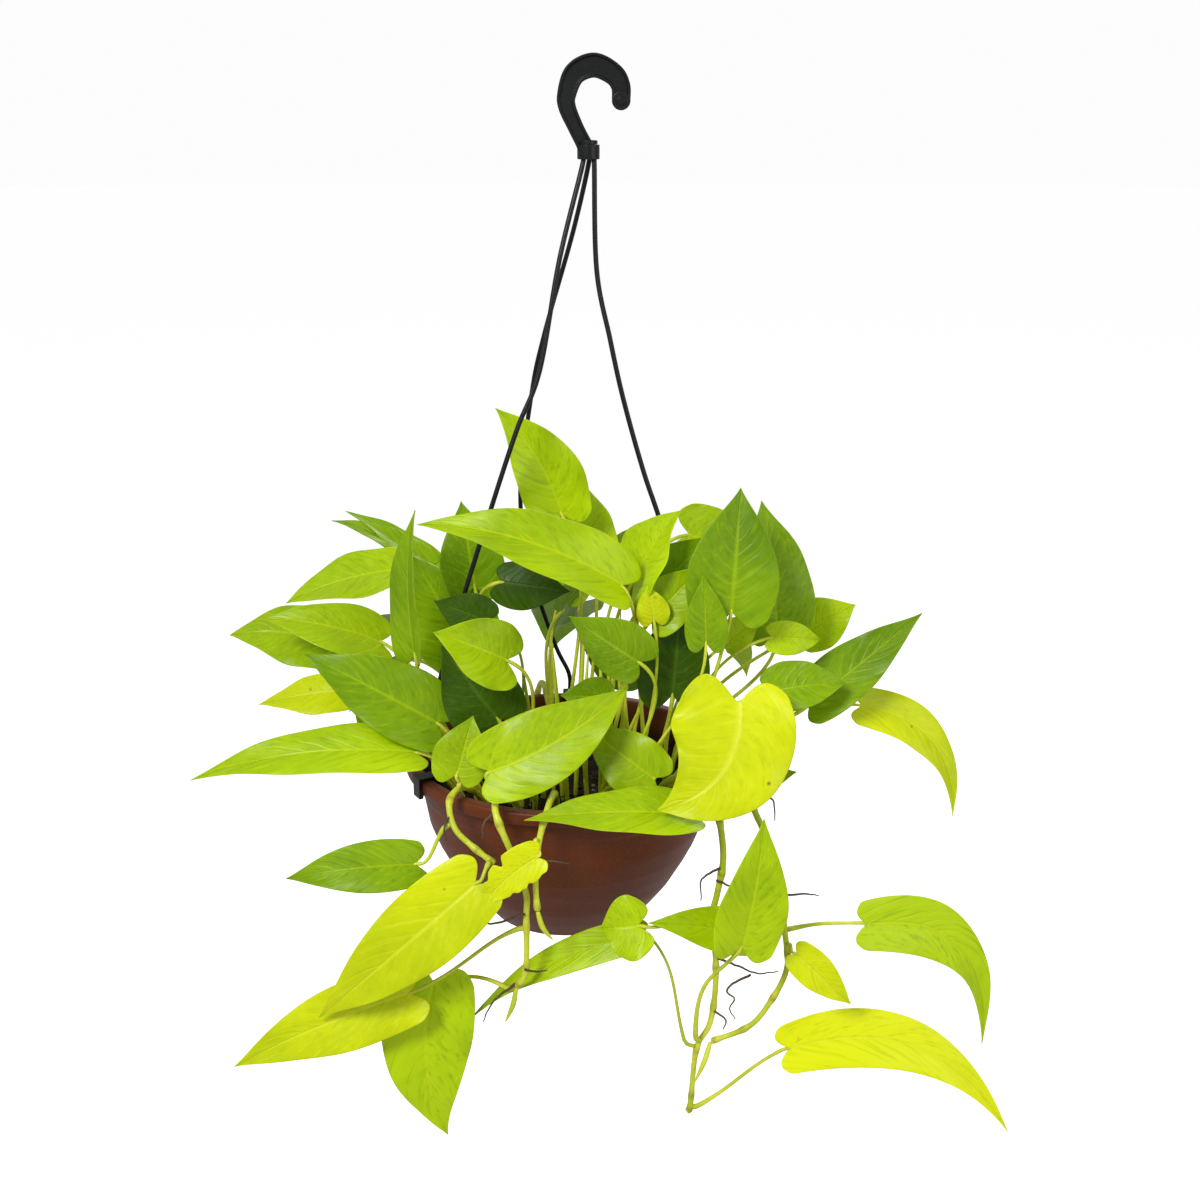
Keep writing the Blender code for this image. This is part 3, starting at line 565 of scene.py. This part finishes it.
# Small leaves that stay looks only: root, base, tip, width, face, fold, arch, sweep, twist, tone, via
SMALL = {
    "spur": ((64, -8), (98, -55, 91), (119, -50, 107), 22, FRONT, 10, 0.05, 0, 0, "lime", None),
    "hang_right": ((78, -4), (124, -62, 97), (157, -52, 92), 22, FRONT, 10, 0.1, 0, 0, "lime", None),
    "round_right": (
        (76, -10), (126, -66, 64), (172, -62, 68), 34, (0, -1, 0.7), 18, 0.08, 0, 0, "green", None),
    "small_back": (
        (20, -56), (27, -60, 58), (-2, -68, 62), 26, FRONT, 10, 0.08, 0, 0, "green", None),
    "dark_back": ((34, 22), (48, 22, 50), (8, 22, 70), 44, FRONT, 5, 0.04, 0, 0, "dark", None),
    "dark_left": (
        (-34, -22), (-45, -50, 103), (-78, -56, 118), 30, FRONT, 10, 0.03, 0, 0, "dark", None),
    "curl_right": (
        (44, -46), (52, -70, 110), (82, -64, 142), 34, FRONT, 15, 0.04, 0, 0, "lime", None),
    "bright_curl": ((46, -44), (54, -76, 111), (50, -74, 133), 21, FRONT, 10, 0.08, 0, 0, "yellow", None),
    "rim_left": (
        (-72, -6), (-108, -32, 26), (-133, -36, 43), 34, FRONT, 10, 0.05, 0, 0, "green", (-92, -16, 14)),
    "rear_peak": ((-12, 40), (-4, 62, 88), (16, 84, 138), 46, (0, 1, 0.3), 15, 0.04, 0, 0, "lime", None),
    "rear_fan": ((24, 46), (36, 70, 92), (62, 104, 128), 48, (0.2, 1, 0.5), 15, 0.06, 0, 0, "green", None),
    "rear_side": ((66, 30), (112, 60, 76), (168, 84, 62), 46, (0.3, 0.4, 1), 12, 0.10, 0, 0, "yellow", None),
    "rear_low_left": (
        (-58, 36), (-104, 62, 40), (-158, 86, -6), 46, (-0.4, 0.5, 0.9), 12, 0.1, 0, 0, "lime", None),
    "rear_mid": ((-8, 34), (-4, 50, 78), (24, 78, 96), 44, (0, 1, 0.6), 12, 0.06, 0, 0, "green", None),
    "thin_tip": (
        (-38, 30), (-90, 46, 112), (-156, 52, 143), 22, (0, -0.5, 1), 15, 0.06, 0, 0, "green", None),
}
SMALL_TRAILING = {
    "wing": (
        (95, -90, -70), (116, -100, -84), (50, -114, -66), 30, FRONT, 14, 0.06, 0.04, 30, "lime", None),
    "torn": (
        (-16, -121, -8), (-14, -126, -16), (-50, -128, -50), 26, FRONT, 14, 0.05, 0.05, 0, "yellow", None),
}


def half_shape(u):
    """Half width of a heart blade down its length, as a share of the widest."""
    return 0.8 * (1 - u) ** 1.3 * (1 + 3.1 * u)


# How much lighter than their neighbours some blades are painted: painted light that keeps them bright where
# they sit in shade
PAINTED_LIGHT_LIFT = {
    "bright_right": 0.75, "hang_right": 0.35, "crown": 0.1, "long_centre": 0.1, "t_right": 0.5,
    "t_front": 0.3, "t_heart": 0.4, "t_small": 0.3, "t_twist": 0.2, "t_green": 0.2, "t_low_right": 0.3,
}


def blade(work, name, row, ragged=0.0):
    """One heart-shaped blade, folded at the midrib, with a rippled margin and quilted veins."""
    _, base, tip, width, face, fold, arch, sweep, twist, _, _ = row
    dice = random.Random(name)
    base = at(*base)
    tip = at(*tip)
    width = width / 1000
    along = (tip - base).normalized()
    length = (tip - base).length
    face = Vector(face)
    normal = (face - along * face.dot(along)).normalized()
    across = along.cross(normal)
    phase = dice.uniform(0, TURN)
    waves = dice.uniform(1.6, 2.8)
    lop = dice.uniform(-0.05, 0.05)
    droop = dice.uniform(0.0, 0.05)
    rows = []
    for i in range(LONG + 1):
        u = i / LONG
        bow = 4 * u * (1 - u)
        slope = 4 * (1 - 2 * u)
        centre = base + along * (BLADE_START + (length - BLADE_START) * u)
        centre += (normal * arch + across * sweep) * length * bow
        run = (along + (normal * arch + across * sweep) * slope).normalized()
        up = (normal - run * normal.dot(run)).normalized()
        up = Matrix.Rotation(math.radians(twist) * (u - 0.2), 3, run) @ up
        side = run.cross(up)
        half = width / 2 * half_shape(u)
        lift = math.radians(fold)
        line = []
        for j in range(WIDE + 1):
            v = -1 + 2 * j / WIDE
            out = abs(v)
            sign = -1 if v < 0 else 1
            lobe = 0.20 * width * (1 - u) ** 4 * math.sin(0.88 * math.pi * out)
            lobe *= 1 + sign * lop * 4
            reach = half * (1 + sign * lop)
            if ragged:
                reach *= 1 - ragged * out * max(0.0, noise.noise(Vector((u * 9, sign * 3, 2))))
            rise = math.sqrt(out * out + 0.012) - 0.11
            point = centre + side * (v * reach * math.cos(lift)) - run * lobe
            ripple = math.sin(waves * TURN * u + phase + sign * 0.8) * out**3 * (1 - u) ** 0.5
            quilt = math.sin(VEIN_WAVES * (u - 0.15 * out)) * out * (1 - out) * (1 - u)
            curl = out**3 * math.sin(math.pi * min(1, u * 1.4)) * 0.05
            point += up * (
                rise * reach * math.sin(lift)
                + ripple * width * 0.038
                + quilt * width * 0.013
                - curl * width
                - droop * length * u**4
            )
            line.append(point)
        rows.append(line)
    made = skin(work, rows)
    tone = work.verts.layers.float["tone"]
    # The random part is each blade's own tone; the added lift is painted light
    level = dice.uniform(0.05, 0.42) + PAINTED_LIGHT_LIFT.get(name, 0.0)
    # Painted side light: one half of each blade is painted lighter and the other half darker
    painted_side_light = dice.uniform(-0.12, 0.12)
    for i, vert in enumerate(made):
        u = (i // (WIDE + 1)) / LONG
        v = -1 + 2 * (i % (WIDE + 1)) / WIDE
        vert[tone] = level + 0.18 * (1 - u) ** 2 + painted_side_light * v
    bmesh.ops.remove_doubles(work, verts=[v for v in made if v.is_valid], dist=1e-6)
    return along


def petiole_path(root, base, along, via, start):
    """Points from the root, leaving along start, to the blade's base, arriving along the blade."""
    reach = (base - root).length
    arrive = Vector((along.x, along.y, max(along.z, 0.4)))
    arrive = (arrive.normalized() + along * 0.5).normalized()
    first = root + start * reach * 0.4
    last = base - arrive * reach * 0.3
    if via is not None:
        first = via.copy()
        last = via * 0.5 + last * 0.5
    path = []
    for i in range(PETIOLE_STEPS):
        t = i / (PETIOLE_STEPS - 1)
        s = 1 - t
        path.append(root * s**3 + first * (3 * s * s * t) + last * (3 * s * t * t) + base * t**3)
    path.append(base + along * 0.004)
    return path


def soil_root(x, y):
    return at(x, y, -ROOT_DEPTH)


STEM_PATHS = {
    name: through([soil_root(*stations[0])] + [at(*p) for p in stations[1:]], 9)
    for name, stations in VINES.items()
}


def nearest_on_stem(spot):
    """The stalk's own root if no stem is close, or the point on the stem's middle that it grows from."""
    close = min(
        (point for path in STEM_PATHS.values() for point in path), key=lambda p: (p - spot).length
    )
    return close if (close - spot).length < STEM_REACH else spot


def leaf(name, row, root, start, nodes, ragged=0.0):
    tone = row[9]
    work = fresh()
    along = blade(work, name, row, ragged)
    piece(
        "blade_" + name,
        work,
        TONES[tone],
        "leaf_" + tone,
        *nodes,
        closed=False,
        wall=BLADE_WALL,
        levels=1,
    )
    via = at(*row[10]) if row[10] else None
    path = petiole_path(root, at(*row[1]), along, via, start)
    stem = nearest_on_stem(root)
    if start.z < 0.99 and (stem - root).length > 0.001:
        path.insert(0, stem)
    slim = 0.8 if row[3] < 32 else 1.0
    radii = []
    marks = []
    for i in range(len(path)):
        t = i / (len(path) - 1)
        sheath = 0.5 * max(0, 1 - t / 0.22)
        knee = 0.25 * math.exp(-(((t - 0.90) / 0.05) ** 2))
        radii.append(PETIOLE_RADIUS * slim * (1.1 - 0.25 * t + sheath + knee) * (0.45 if t == 1 else 1))
        marks.append(0.5 * max(0, 1 - t / 0.06))
    work = fresh()
    tube(work, path, radii, 10, 0.88, marks)
    piece("petiole_" + name, work, STEM, "stem_green", *nodes, levels=1)


for full, row in LEAVES.items():
    leaf(full[5:], row, soil_root(*row[0]), Vector((0, 0, 1)), (full,))
for name, row in SMALL.items():
    leaf(name, row, soil_root(*row[0]), Vector((0, 0, 1)), ())
for full, row in TRAILING.items():
    root = at(*row[0])
    leaf(full[5:], row, root, (at(*row[1]) - root).normalized(), (full,))
for name, row in SMALL_TRAILING.items():
    root = at(*row[0])
    aim = (at(*row[1]) - root).normalized()
    leaf(name, row, root, aim, (), 0.9 if name == "torn" else 0.0)


# Vines with swollen joints and brown scars
for name, path in STEM_PATHS.items():
    dice = random.Random(name)
    travelled = [0.0]
    for a, b in zip(path, path[1:]):
        travelled.append(travelled[-1] + (b - a).length)
    total = travelled[-1]
    joints = []
    spot = 0.012
    while spot < total - 0.008:
        joints.append(spot)
        spot += dice.uniform(0.026, 0.038)
    joints.append(total - 0.003)
    radii = []
    marks = []
    for i, s in enumerate(travelled):
        swell = sum(math.exp(-(((s - j) / 0.0030) ** 2)) for j in joints)
        scar = sum(math.exp(-(((s - j) / 0.0013) ** 2)) for j in joints)
        radii.append(VINE_RADIUS * (1.12 - 0.30 * s / total + 0.34 * swell))
        marks.append(min(0.85, 0.75 * scar))
    work = fresh()
    tube(work, path, radii, 14, 1.0, marks)
    piece(name + "_stem", work, STEM, "stem_green", name, levels=1)

# Aerial roots: short dry threads from the joints
ROOTS = (
    ((-23, -118, -58), (-42.9, -126, -60.3), (-58.0, -122, -53.8)),
    ((-23, -117, -96), (-16, -124, -93), (-9.5, -128, -89.7)),
    ((-28, -111, -108), (-40, -118, -114), (-45, -120, -120), (-49, -120, -130)),
    ((-14, -120, -22.6), (-5, -123, -21), (4.5, -124, -22.3)),
    ((93, -90, -50), (104, -93, -54), (117, -96, -62.4)),
    ((95, -90, -42), (84, -93, -48), (83.7, -94, -62.1)),
    ((117, -80, 3), (125.8, -90, 3), (127.3, -92, -9.7)),
    ((130, -90, -60), (148.2, -90, -59.5), (155.8, -92, -59.1)),
    ((116, -90, -115), (105.4, -92, -119.8), (101, -92, -126), (106, -92, -131),
     (103, -92, -138), (107, -92, -145)),
    ((95, -89, -104), (108, -92, -108), (120, -92, -113), (133, -91, -112)),
    ((93, -89, -88), (104, -93, -95), (112, -94, -98)),
    ((92, -89, -140), (101, -92, -146), (99, -92, -153)),
    ((-26, 119, -60), (-34, 124, -66), (-36, 126, -74)),
    ((-28, 119, -100), (-20, 125, -106), (-20, 126, -114)),
    ((-66, -100, 0), (-70, -108, -6), (-69, -110, -14)),
    ((-40, -110, 5), (-46, -116, 0), (-47, -118, -8)),
)
work = fresh()
for i, thread in enumerate(ROOTS):
    path = through([at(*p) for p in thread], 6)
    dice = random.Random(i)
    path = [p + Vector([dice.uniform(-1, 1) * 0.00025 for _ in range(3)]) for p in path]
    radii = [0.00085 * (1 - 0.6 * k / (len(path) - 1)) for k in range(len(path))]
    tube(work, path, radii, 7)
piece("aerial_roots", work, ROOT, "stem_green")

# Young rolled leaves and bare stalks among the stems
SPEARS = (
    ((-29, -111, -111), (-31, -113, -122), (-36, -114, -134)),
    ((92, -88, -164), (88, -92, -176), (82, -94, -190)),
    ((-15, -122, -54), (-12, -123, -64), (-6, -124, -72)),
    ((22, -50, -26), (23, -52, 30), (22, -46, 92)),
    ((36, -40, -26), (37, -41, 30), (33, -40, 84)),
    ((-8, -20, -26), (-9, -22, 30), (-7.7, -20, 80)),
    ((-2, -30, -26), (-4, -33, 30), (-8, -38, 88)),
    ((6, -24, -26), (9, -26, 36), (13, -28, 98)),
    ((14, -38, -26), (12, -41, 28), (15, -46, 86)),
    ((-22, -32, -26), (-21, -34, 18), (-26, -42, 74)),
    ((28, -26, -26), (29, -28, 40), (35, -32, 104)),
    ((2, -44, -26), (0, -47, 14), (3, -54, 62)),
    ((-20, -58, -26), (-18, -62, -6), (-22, -64, 14)),
    ((10, -60, -26), (14, -66, -8), (12, -68, 8)),
)
work = fresh()
for thread in SPEARS:
    path = through([at(*p) for p in thread], 8)
    last = len(path) - 1
    radii = [
        0.0013 + 0.0006 * math.sin(math.pi * k / last) - 0.0010 * (k / last) ** 3
        for k in range(last + 1)
    ]
    tube(work, path, radii, 10)
piece("young_shoots", work, STEM, "stem_green", levels=1)


# Pot: a moulded bowl with a skirted rim, two faint steps, a foot ring and drain holes
def pot_outline():
    top = RIM_Z
    low = top - POT_HEIGHT
    body = RIM_RADIUS - 0.0072
    foot = FOOT_RADIUS
    outer = [
        (RIM_RADIUS, top),
        (RIM_RADIUS, top - RIM_SKIRT),
        (RIM_RADIUS - 0.0016, top - RIM_SKIRT),
        (RIM_RADIUS - 0.0016, top - 0.0018),
        (body, top - 0.0018),
        (body - 0.0022, top - 0.20 * POT_HEIGHT),
        (body - 0.0034, top - 0.21 * POT_HEIGHT),
        (body - 0.0070, top - 0.40 * POT_HEIGHT),
        (body - 0.0124, top - 0.53 * POT_HEIGHT),
        (body - 0.0128, top - 0.535 * POT_HEIGHT),
        (foot + 0.62 * (body - foot), top - 0.62 * POT_HEIGHT),
        (foot + 0.40 * (body - foot), top - 0.78 * POT_HEIGHT),
        (foot + 0.20 * (body - foot), top - 0.89 * POT_HEIGHT),
        (foot + 0.04 * (body - foot), top - 0.965 * POT_HEIGHT),
        (foot - 0.0010, low),
        (foot - 0.0050, low),
        (foot - 0.0070, low + FOOT_RECESS),
        (0, low + FOOT_RECESS),
    ]
    inner = [
        (0, low + FOOT_RECESS + POT_WALL),
        (foot - 0.0050, low + FOOT_RECESS + POT_WALL),
        (foot + 0.03 * (body - foot) - POT_WALL, top - 0.945 * POT_HEIGHT),
        (foot + 0.20 * (body - foot) - POT_WALL, top - 0.875 * POT_HEIGHT),
        (foot + 0.40 * (body - foot) - POT_WALL, top - 0.765 * POT_HEIGHT),
        (foot + 0.62 * (body - foot) - POT_WALL, top - 0.61 * POT_HEIGHT),
        (body - 0.0070 - POT_WALL, top - 0.40 * POT_HEIGHT),
        (body - 0.0034 - POT_WALL, top - 0.21 * POT_HEIGHT),
        (body - 0.0008, top),
    ]
    return inner + outer


def wall_middle(z):
    """Radius of the middle of the pot's wall at that height."""
    line = [(r + POT_WALL / 2, height) for r, height in pot_outline()[1:9]]
    for (r0, z0), (r1, z1) in zip(line, line[1:]):
        if z0 <= z <= z1:
            return r0 + (r1 - r0) * (z - z0) / (z1 - z0)
    return 0.0


work = fresh()
turned(work, softened(pot_outline(), 0.0022), 144)
# Soil stain and painted shade: inside the pot, below the rim, the wall is marked darker the deeper it goes
soil_stain_and_painted_shade = work.verts.layers.float["tone"]
for vert in work.verts:
    radius = math.hypot(vert.co.x - AXIS_X, vert.co.y)
    down = (RIM_Z - vert.co.z) / POT_HEIGHT
    inside = radius < RIM_RADIUS - 0.0090 and down > 0.03 and radius < wall_middle(vert.co.z)
    vert[soil_stain_and_painted_shade] = min(1, down * 9) if inside else 0
pot = piece("bowl_pot", work, BROWN, "pot_brown", "pot")
cutter_work = fresh()
for i in range(DRAIN_HOLES):
    turn = Matrix.Rotation(math.radians(360 / DRAIN_HOLES * i), 4, "Z")
    place = Matrix.Translation((AXIS_X, 0, RIM_Z - POT_HEIGHT)) @ turn
    bmesh.ops.create_cone(
        cutter_work,
        cap_ends=True,
        segments=28,
        radius1=DRAIN_RADIUS,
        radius2=DRAIN_RADIUS,
        depth=0.02,
        matrix=place @ Matrix.Translation((DRAIN_RING, 0, 0)),
    )
cutter_mesh = bpy.data.meshes.new("drain_cutter")
cutter_work.to_mesh(cutter_mesh)
cutter_work.free()
cutter = bpy.data.objects.new("drain_cutter", cutter_mesh)
bpy.context.scene.collection.objects.link(cutter)
cut = pot.modifiers.new("Drain holes", "BOOLEAN")
cut.solver = "EXACT"
cut.operation = "DIFFERENCE"
cut.object = cutter
bpy.context.view_layer.update()
drained = bpy.data.meshes.new_from_object(
    pot.evaluated_get(bpy.context.evaluated_depsgraph_get())
)
pot.modifiers.clear()
pot.data = drained
bpy.data.objects.remove(cutter, do_unlink=True)
pot.data.set_sharp_from_angle(angle=math.radians(40))

# Soil with an uneven, crumbly top
floor_z = RIM_Z - POT_HEIGHT + FOOT_RECESS + POT_WALL + 0.0004
top_radius = 0.0919
sides = [(r - 0.0010, z) for r, z in pot_outline()[1:7]]
sides[0] = (sides[0][0] - 0.001, floor_z)
profile = [(0, floor_z)] + [p for p in sides if p[1] < SOIL_Z - 0.004]
profile += [(top_radius, SOIL_Z - 0.001)]
profile += [(top_radius * (1 - k / 46), SOIL_Z) for k in range(1, 46)] + [(0, SOIL_Z)]
work = fresh()
turned(work, profile, 150)
for vert in work.verts:
    if vert.co.z > SOIL_Z - 0.0005:
        spot = Vector((vert.co.x, vert.co.y, 0))
        radius = math.hypot(vert.co.x - AXIS_X, vert.co.y)
        fade = min(1, (top_radius - radius) / 0.006)
        lumps = noise.fractal(spot * 90, 0.8, 2.1, 5) * 0.0022
        grains = noise.noise(spot * 700) * 0.0006
        vert.co.z += (lumps + grains) * fade + 0.0006
piece("soil_bed", work, EARTH, "potting_soil", "soil")

dice = random.Random(41)


def scattered(work, count, smallest, largest, furthest_back, squash, lift=0.0):
    """Small broken lumps strewn on the soil, none of them behind furthest_back."""
    for _ in range(count):
        radius = 0.0865 * math.sqrt(dice.random())
        turn = dice.uniform(0, 2 * math.pi)
        x = AXIS_X + radius * math.cos(turn)
        y = radius * math.sin(turn)
        if y > furthest_back:
            y = -abs(y)
        size = dice.uniform(smallest, largest)
        spin = Matrix.Rotation(dice.uniform(0, TURN), 4, Vector([dice.uniform(-1, 1) for _ in range(3)]))
        scale = Matrix.Diagonal((1, dice.uniform(0.5, 0.9), dice.uniform(0.3, 0.6) * squash, 1))
        place = Matrix.Translation((x, y, SOIL_Z + lift + size * 0.2)) @ spin @ scale
        lump = bmesh.ops.create_icosphere(work, subdivisions=1, radius=size, matrix=place)
        for vert in lump["verts"]:
            vert.co += noise.noise_vector(vert.co * 900) * size * 0.35


work = fresh()
scattered(work, 620, 0.0010, 0.0034, RIM_RADIUS, 1.0)
piece("bark_bits", work, BARK, "potting_soil")
work = fresh()
scattered(work, 90, 0.0007, 0.0018, -0.01, 1.6, 0.0010)
piece("perlite_bits", work, PERLITE, "potting_soil")
work = fresh()
for _ in range(260):
    radius = 0.086 * math.sqrt(dice.random())
    turn = dice.uniform(0, 2 * math.pi)
    spot = Vector((AXIS_X + radius * math.cos(turn), radius * math.sin(turn), SOIL_Z + 0.0018))
    aim = Vector((dice.uniform(-1, 1), dice.uniform(-1, 1), dice.uniform(-0.1, 0.35))).normalized()
    long = dice.uniform(0.006, 0.018)
    bend = Vector((0, 0, dice.uniform(0.0005, 0.0025)))
    path = [spot + aim * long * t + bend * math.sin(math.pi * t) for t in (0, 0.33, 0.66, 1)]
    tube(work, path, [0.00028, 0.00034, 0.0003, 0.0002], 5)
piece("peat_fibres", work, BARK, "potting_soil")


# Hook: an I-section strap bent into an open bow, round boss at the tip, socket block below
HOOK = (
    (0.01231, -0.0127, 0.0054),
    (0.01195, -0.0046, 0.0056),
    (0.00752, 0.00206, 0.0062),
    (-0.00339, 0.0068, 0.0068),
    (-0.01452, 0.00227, 0.0064),
    (-0.01931, -0.00906, 0.0055),
    (-0.01905, -0.0165, 0.0051),
    (-0.0142, -0.0275, 0.0046),
    (-0.0095, -0.0365, 0.0047),
    (-0.0068, -0.0421, 0.0054),
)
centre = through([Vector((x, 0, z)) for x, z, _ in HOOK], 10)
widths = through([Vector((w, 0, 0)) for _, _, w in HOOK], 10)
half = HOOK_THICK / 2
web = half - HOOK_FLANGE
rows = []
for i, point in enumerate(centre):
    run = (centre[min(i + 1, len(centre) - 1)] - centre[max(i - 1, 0)]).normalized()
    side = Vector((run.z, 0, -run.x))
    out = widths[i].x
    rib = out - HOOK_FLANGE
    section = [(out, -half), (out, half), (rib, half), (rib, web), (-rib, web), (-rib, half)]
    section += [(-x, -y) for x, y in section]
    rows.append([point + side * x + Vector((0, y, 0)) for x, y in section])
work = fresh()
skin(work, rows, around=True)
facing = Matrix.Rotation(math.radians(90), 4, "X")
tip = Matrix.Translation((HOOK[0][0], 0, HOOK[0][1]))
block = Matrix.Translation((HOOK[-1][0], 0, HOOK[-1][1] + 0.0008))
rounds = (
    (tip @ facing, 0.0054, HOOK_THICK + 0.0004),
    (tip @ facing, 0.0026, HOOK_THICK + 0.0016),
    (block, 0.0066, 0.0085),
    (block @ Matrix.Translation((0, 0, 0.0052)), 0.0054, 0.0030),
)
for matrix, radius, depth in rounds:
    bmesh.ops.create_cone(
        work, cap_ends=True, segments=48, radius1=radius, radius2=radius, depth=depth, matrix=matrix
    )
piece("hook_moulding", work, BLACK, "hanger_black", "hook", bevel=0.0006)

# Arms: round rods ending in clips over the rim
BLOCK = Vector((HOOK[-1][0], 0, HOOK[-1][1] + 0.0008))
SOCKET_Z = BLOCK.z - 0.00425
for name, degrees in (("arm_left", 210), ("arm_back", 90), ("arm_right", 330)):
    turn = math.radians(degrees)
    out = Vector((math.cos(turn), math.sin(turn), 0))
    plug = Vector((BLOCK.x, 0, SOCKET_Z)) + out * 0.0040
    seat = Vector((AXIS_X, 0, RIM_Z)) + out * (RIM_RADIUS - 0.0113)
    points = [plug + Vector((0, 0, 0.0040)), plug + Vector((0, 0, -0.0030))]
    points += [at(*p) for p in ARM_SHAPES[name]]
    points += [seat + Vector((0, 0, 0.018)), seat + Vector((0, 0, 0.0005))]
    path = through(points, 12)
    work = fresh()
    tube(work, path, [0.0015] * len(path), 14)
    lip = RIM_RADIUS
    inner = lip - 0.0104
    outer = lip + 0.0003
    outline = [
        (inner - 0.0018, -0.0060), (inner, -0.0060), (inner, 0.0003), (outer, 0.0003),
        (outer, -RIM_SKIRT - 0.0003), (outer - 0.0014, -RIM_SKIRT - 0.0003),
        (outer - 0.0006, -RIM_SKIRT - 0.0032), (outer + 0.0018, -RIM_SKIRT - 0.0032),
        (outer + 0.0018, 0.0021), (inner - 0.0018, 0.0021),
    ]
    frame_turn = Matrix.Translation((AXIS_X, 0, RIM_Z)) @ Matrix.Rotation(turn, 4, "Z")
    verts = [work.verts.new(frame_turn @ Vector((r, -0.0045, z))) for r, z in outline]
    face = work.faces.new(verts)
    grown = bmesh.ops.extrude_face_region(work, geom=[face])["geom"]
    sideways = Matrix.Rotation(turn, 3, "Z") @ Vector((0, 0.009, 0))
    bmesh.ops.translate(
        work, verts=[g for g in grown if isinstance(g, bmesh.types.BMVert)], vec=sideways
    )
    piece(name + "_rod", work, BLACK, "hanger_black", name, bevel=0.0003)


# Floor, lights and camera
work = fresh()
bmesh.ops.create_circle(
    work, cap_ends=True, segments=96, radius=30, matrix=Matrix.Translation((0, 0, -1.05))
)
mesh = bpy.data.meshes.new("studio_floor")
work.to_mesh(mesh)
work.free()
floor = bpy.data.objects.new("studio_floor", mesh)
bpy.context.scene.collection.objects.link(floor)
pale, tree, shader = coat("pale_floor", (0.93, 0.93, 0.93), 0.9)
shader.inputs["Emission Color"].default_value = (1, 1, 1, 1)
shader.inputs["Emission Strength"].default_value = 0.56
mesh.materials.append(pale)
floor.visible_diffuse = False
floor.visible_glossy = False

world = bpy.data.worlds.new("soft_studio")
world.use_nodes = True
sky = world.node_tree.nodes["Background"]
sky.inputs[0].default_value = (1, 1, 1, 1)
rays = world.node_tree.nodes.new("ShaderNodeLightPath")
seen = math_node(world.node_tree, "MULTIPLY", rays.outputs["Is Camera Ray"], 0.52)
world.node_tree.links.new(math_node(world.node_tree, "ADD", seen, 0.46), sky.inputs[1])
bpy.context.scene.world = world


def soft_light(name, place, aim, size, power):
    data = bpy.data.lights.new(name, "AREA")
    data.shape = "DISK"
    data.size = size
    data.energy = power
    lamp = bpy.data.objects.new(name, data)
    bpy.context.scene.collection.objects.link(lamp)
    lamp.location = place
    lamp.rotation_euler = (Vector(aim) - Vector(place)).to_track_quat("-Z", "Y").to_euler()


soft_light("key", (-0.8, -1.5, 0.9), (0, 0, -0.40), 0.6, 27)
soft_light("fill", (1.5, -1.2, 0.2), (0, 0, -0.4), 1.2, 7)
soft_light("rim_light", (0.5, 1.5, 1.0), (0, 0, -0.38), 0.9, 16)

camera_data = bpy.data.cameras.new("camera")
camera_data.lens = 46.7
camera_data.sensor_width = 36
camera = bpy.data.objects.new("camera", camera_data)
bpy.context.scene.collection.objects.link(camera)
camera.location = (0, -0.95, -0.0274)
camera.rotation_euler = (math.radians(73.1), 0, 0)
bpy.context.scene.camera = camera
bpy.context.scene.view_settings.view_transform = "Standard"
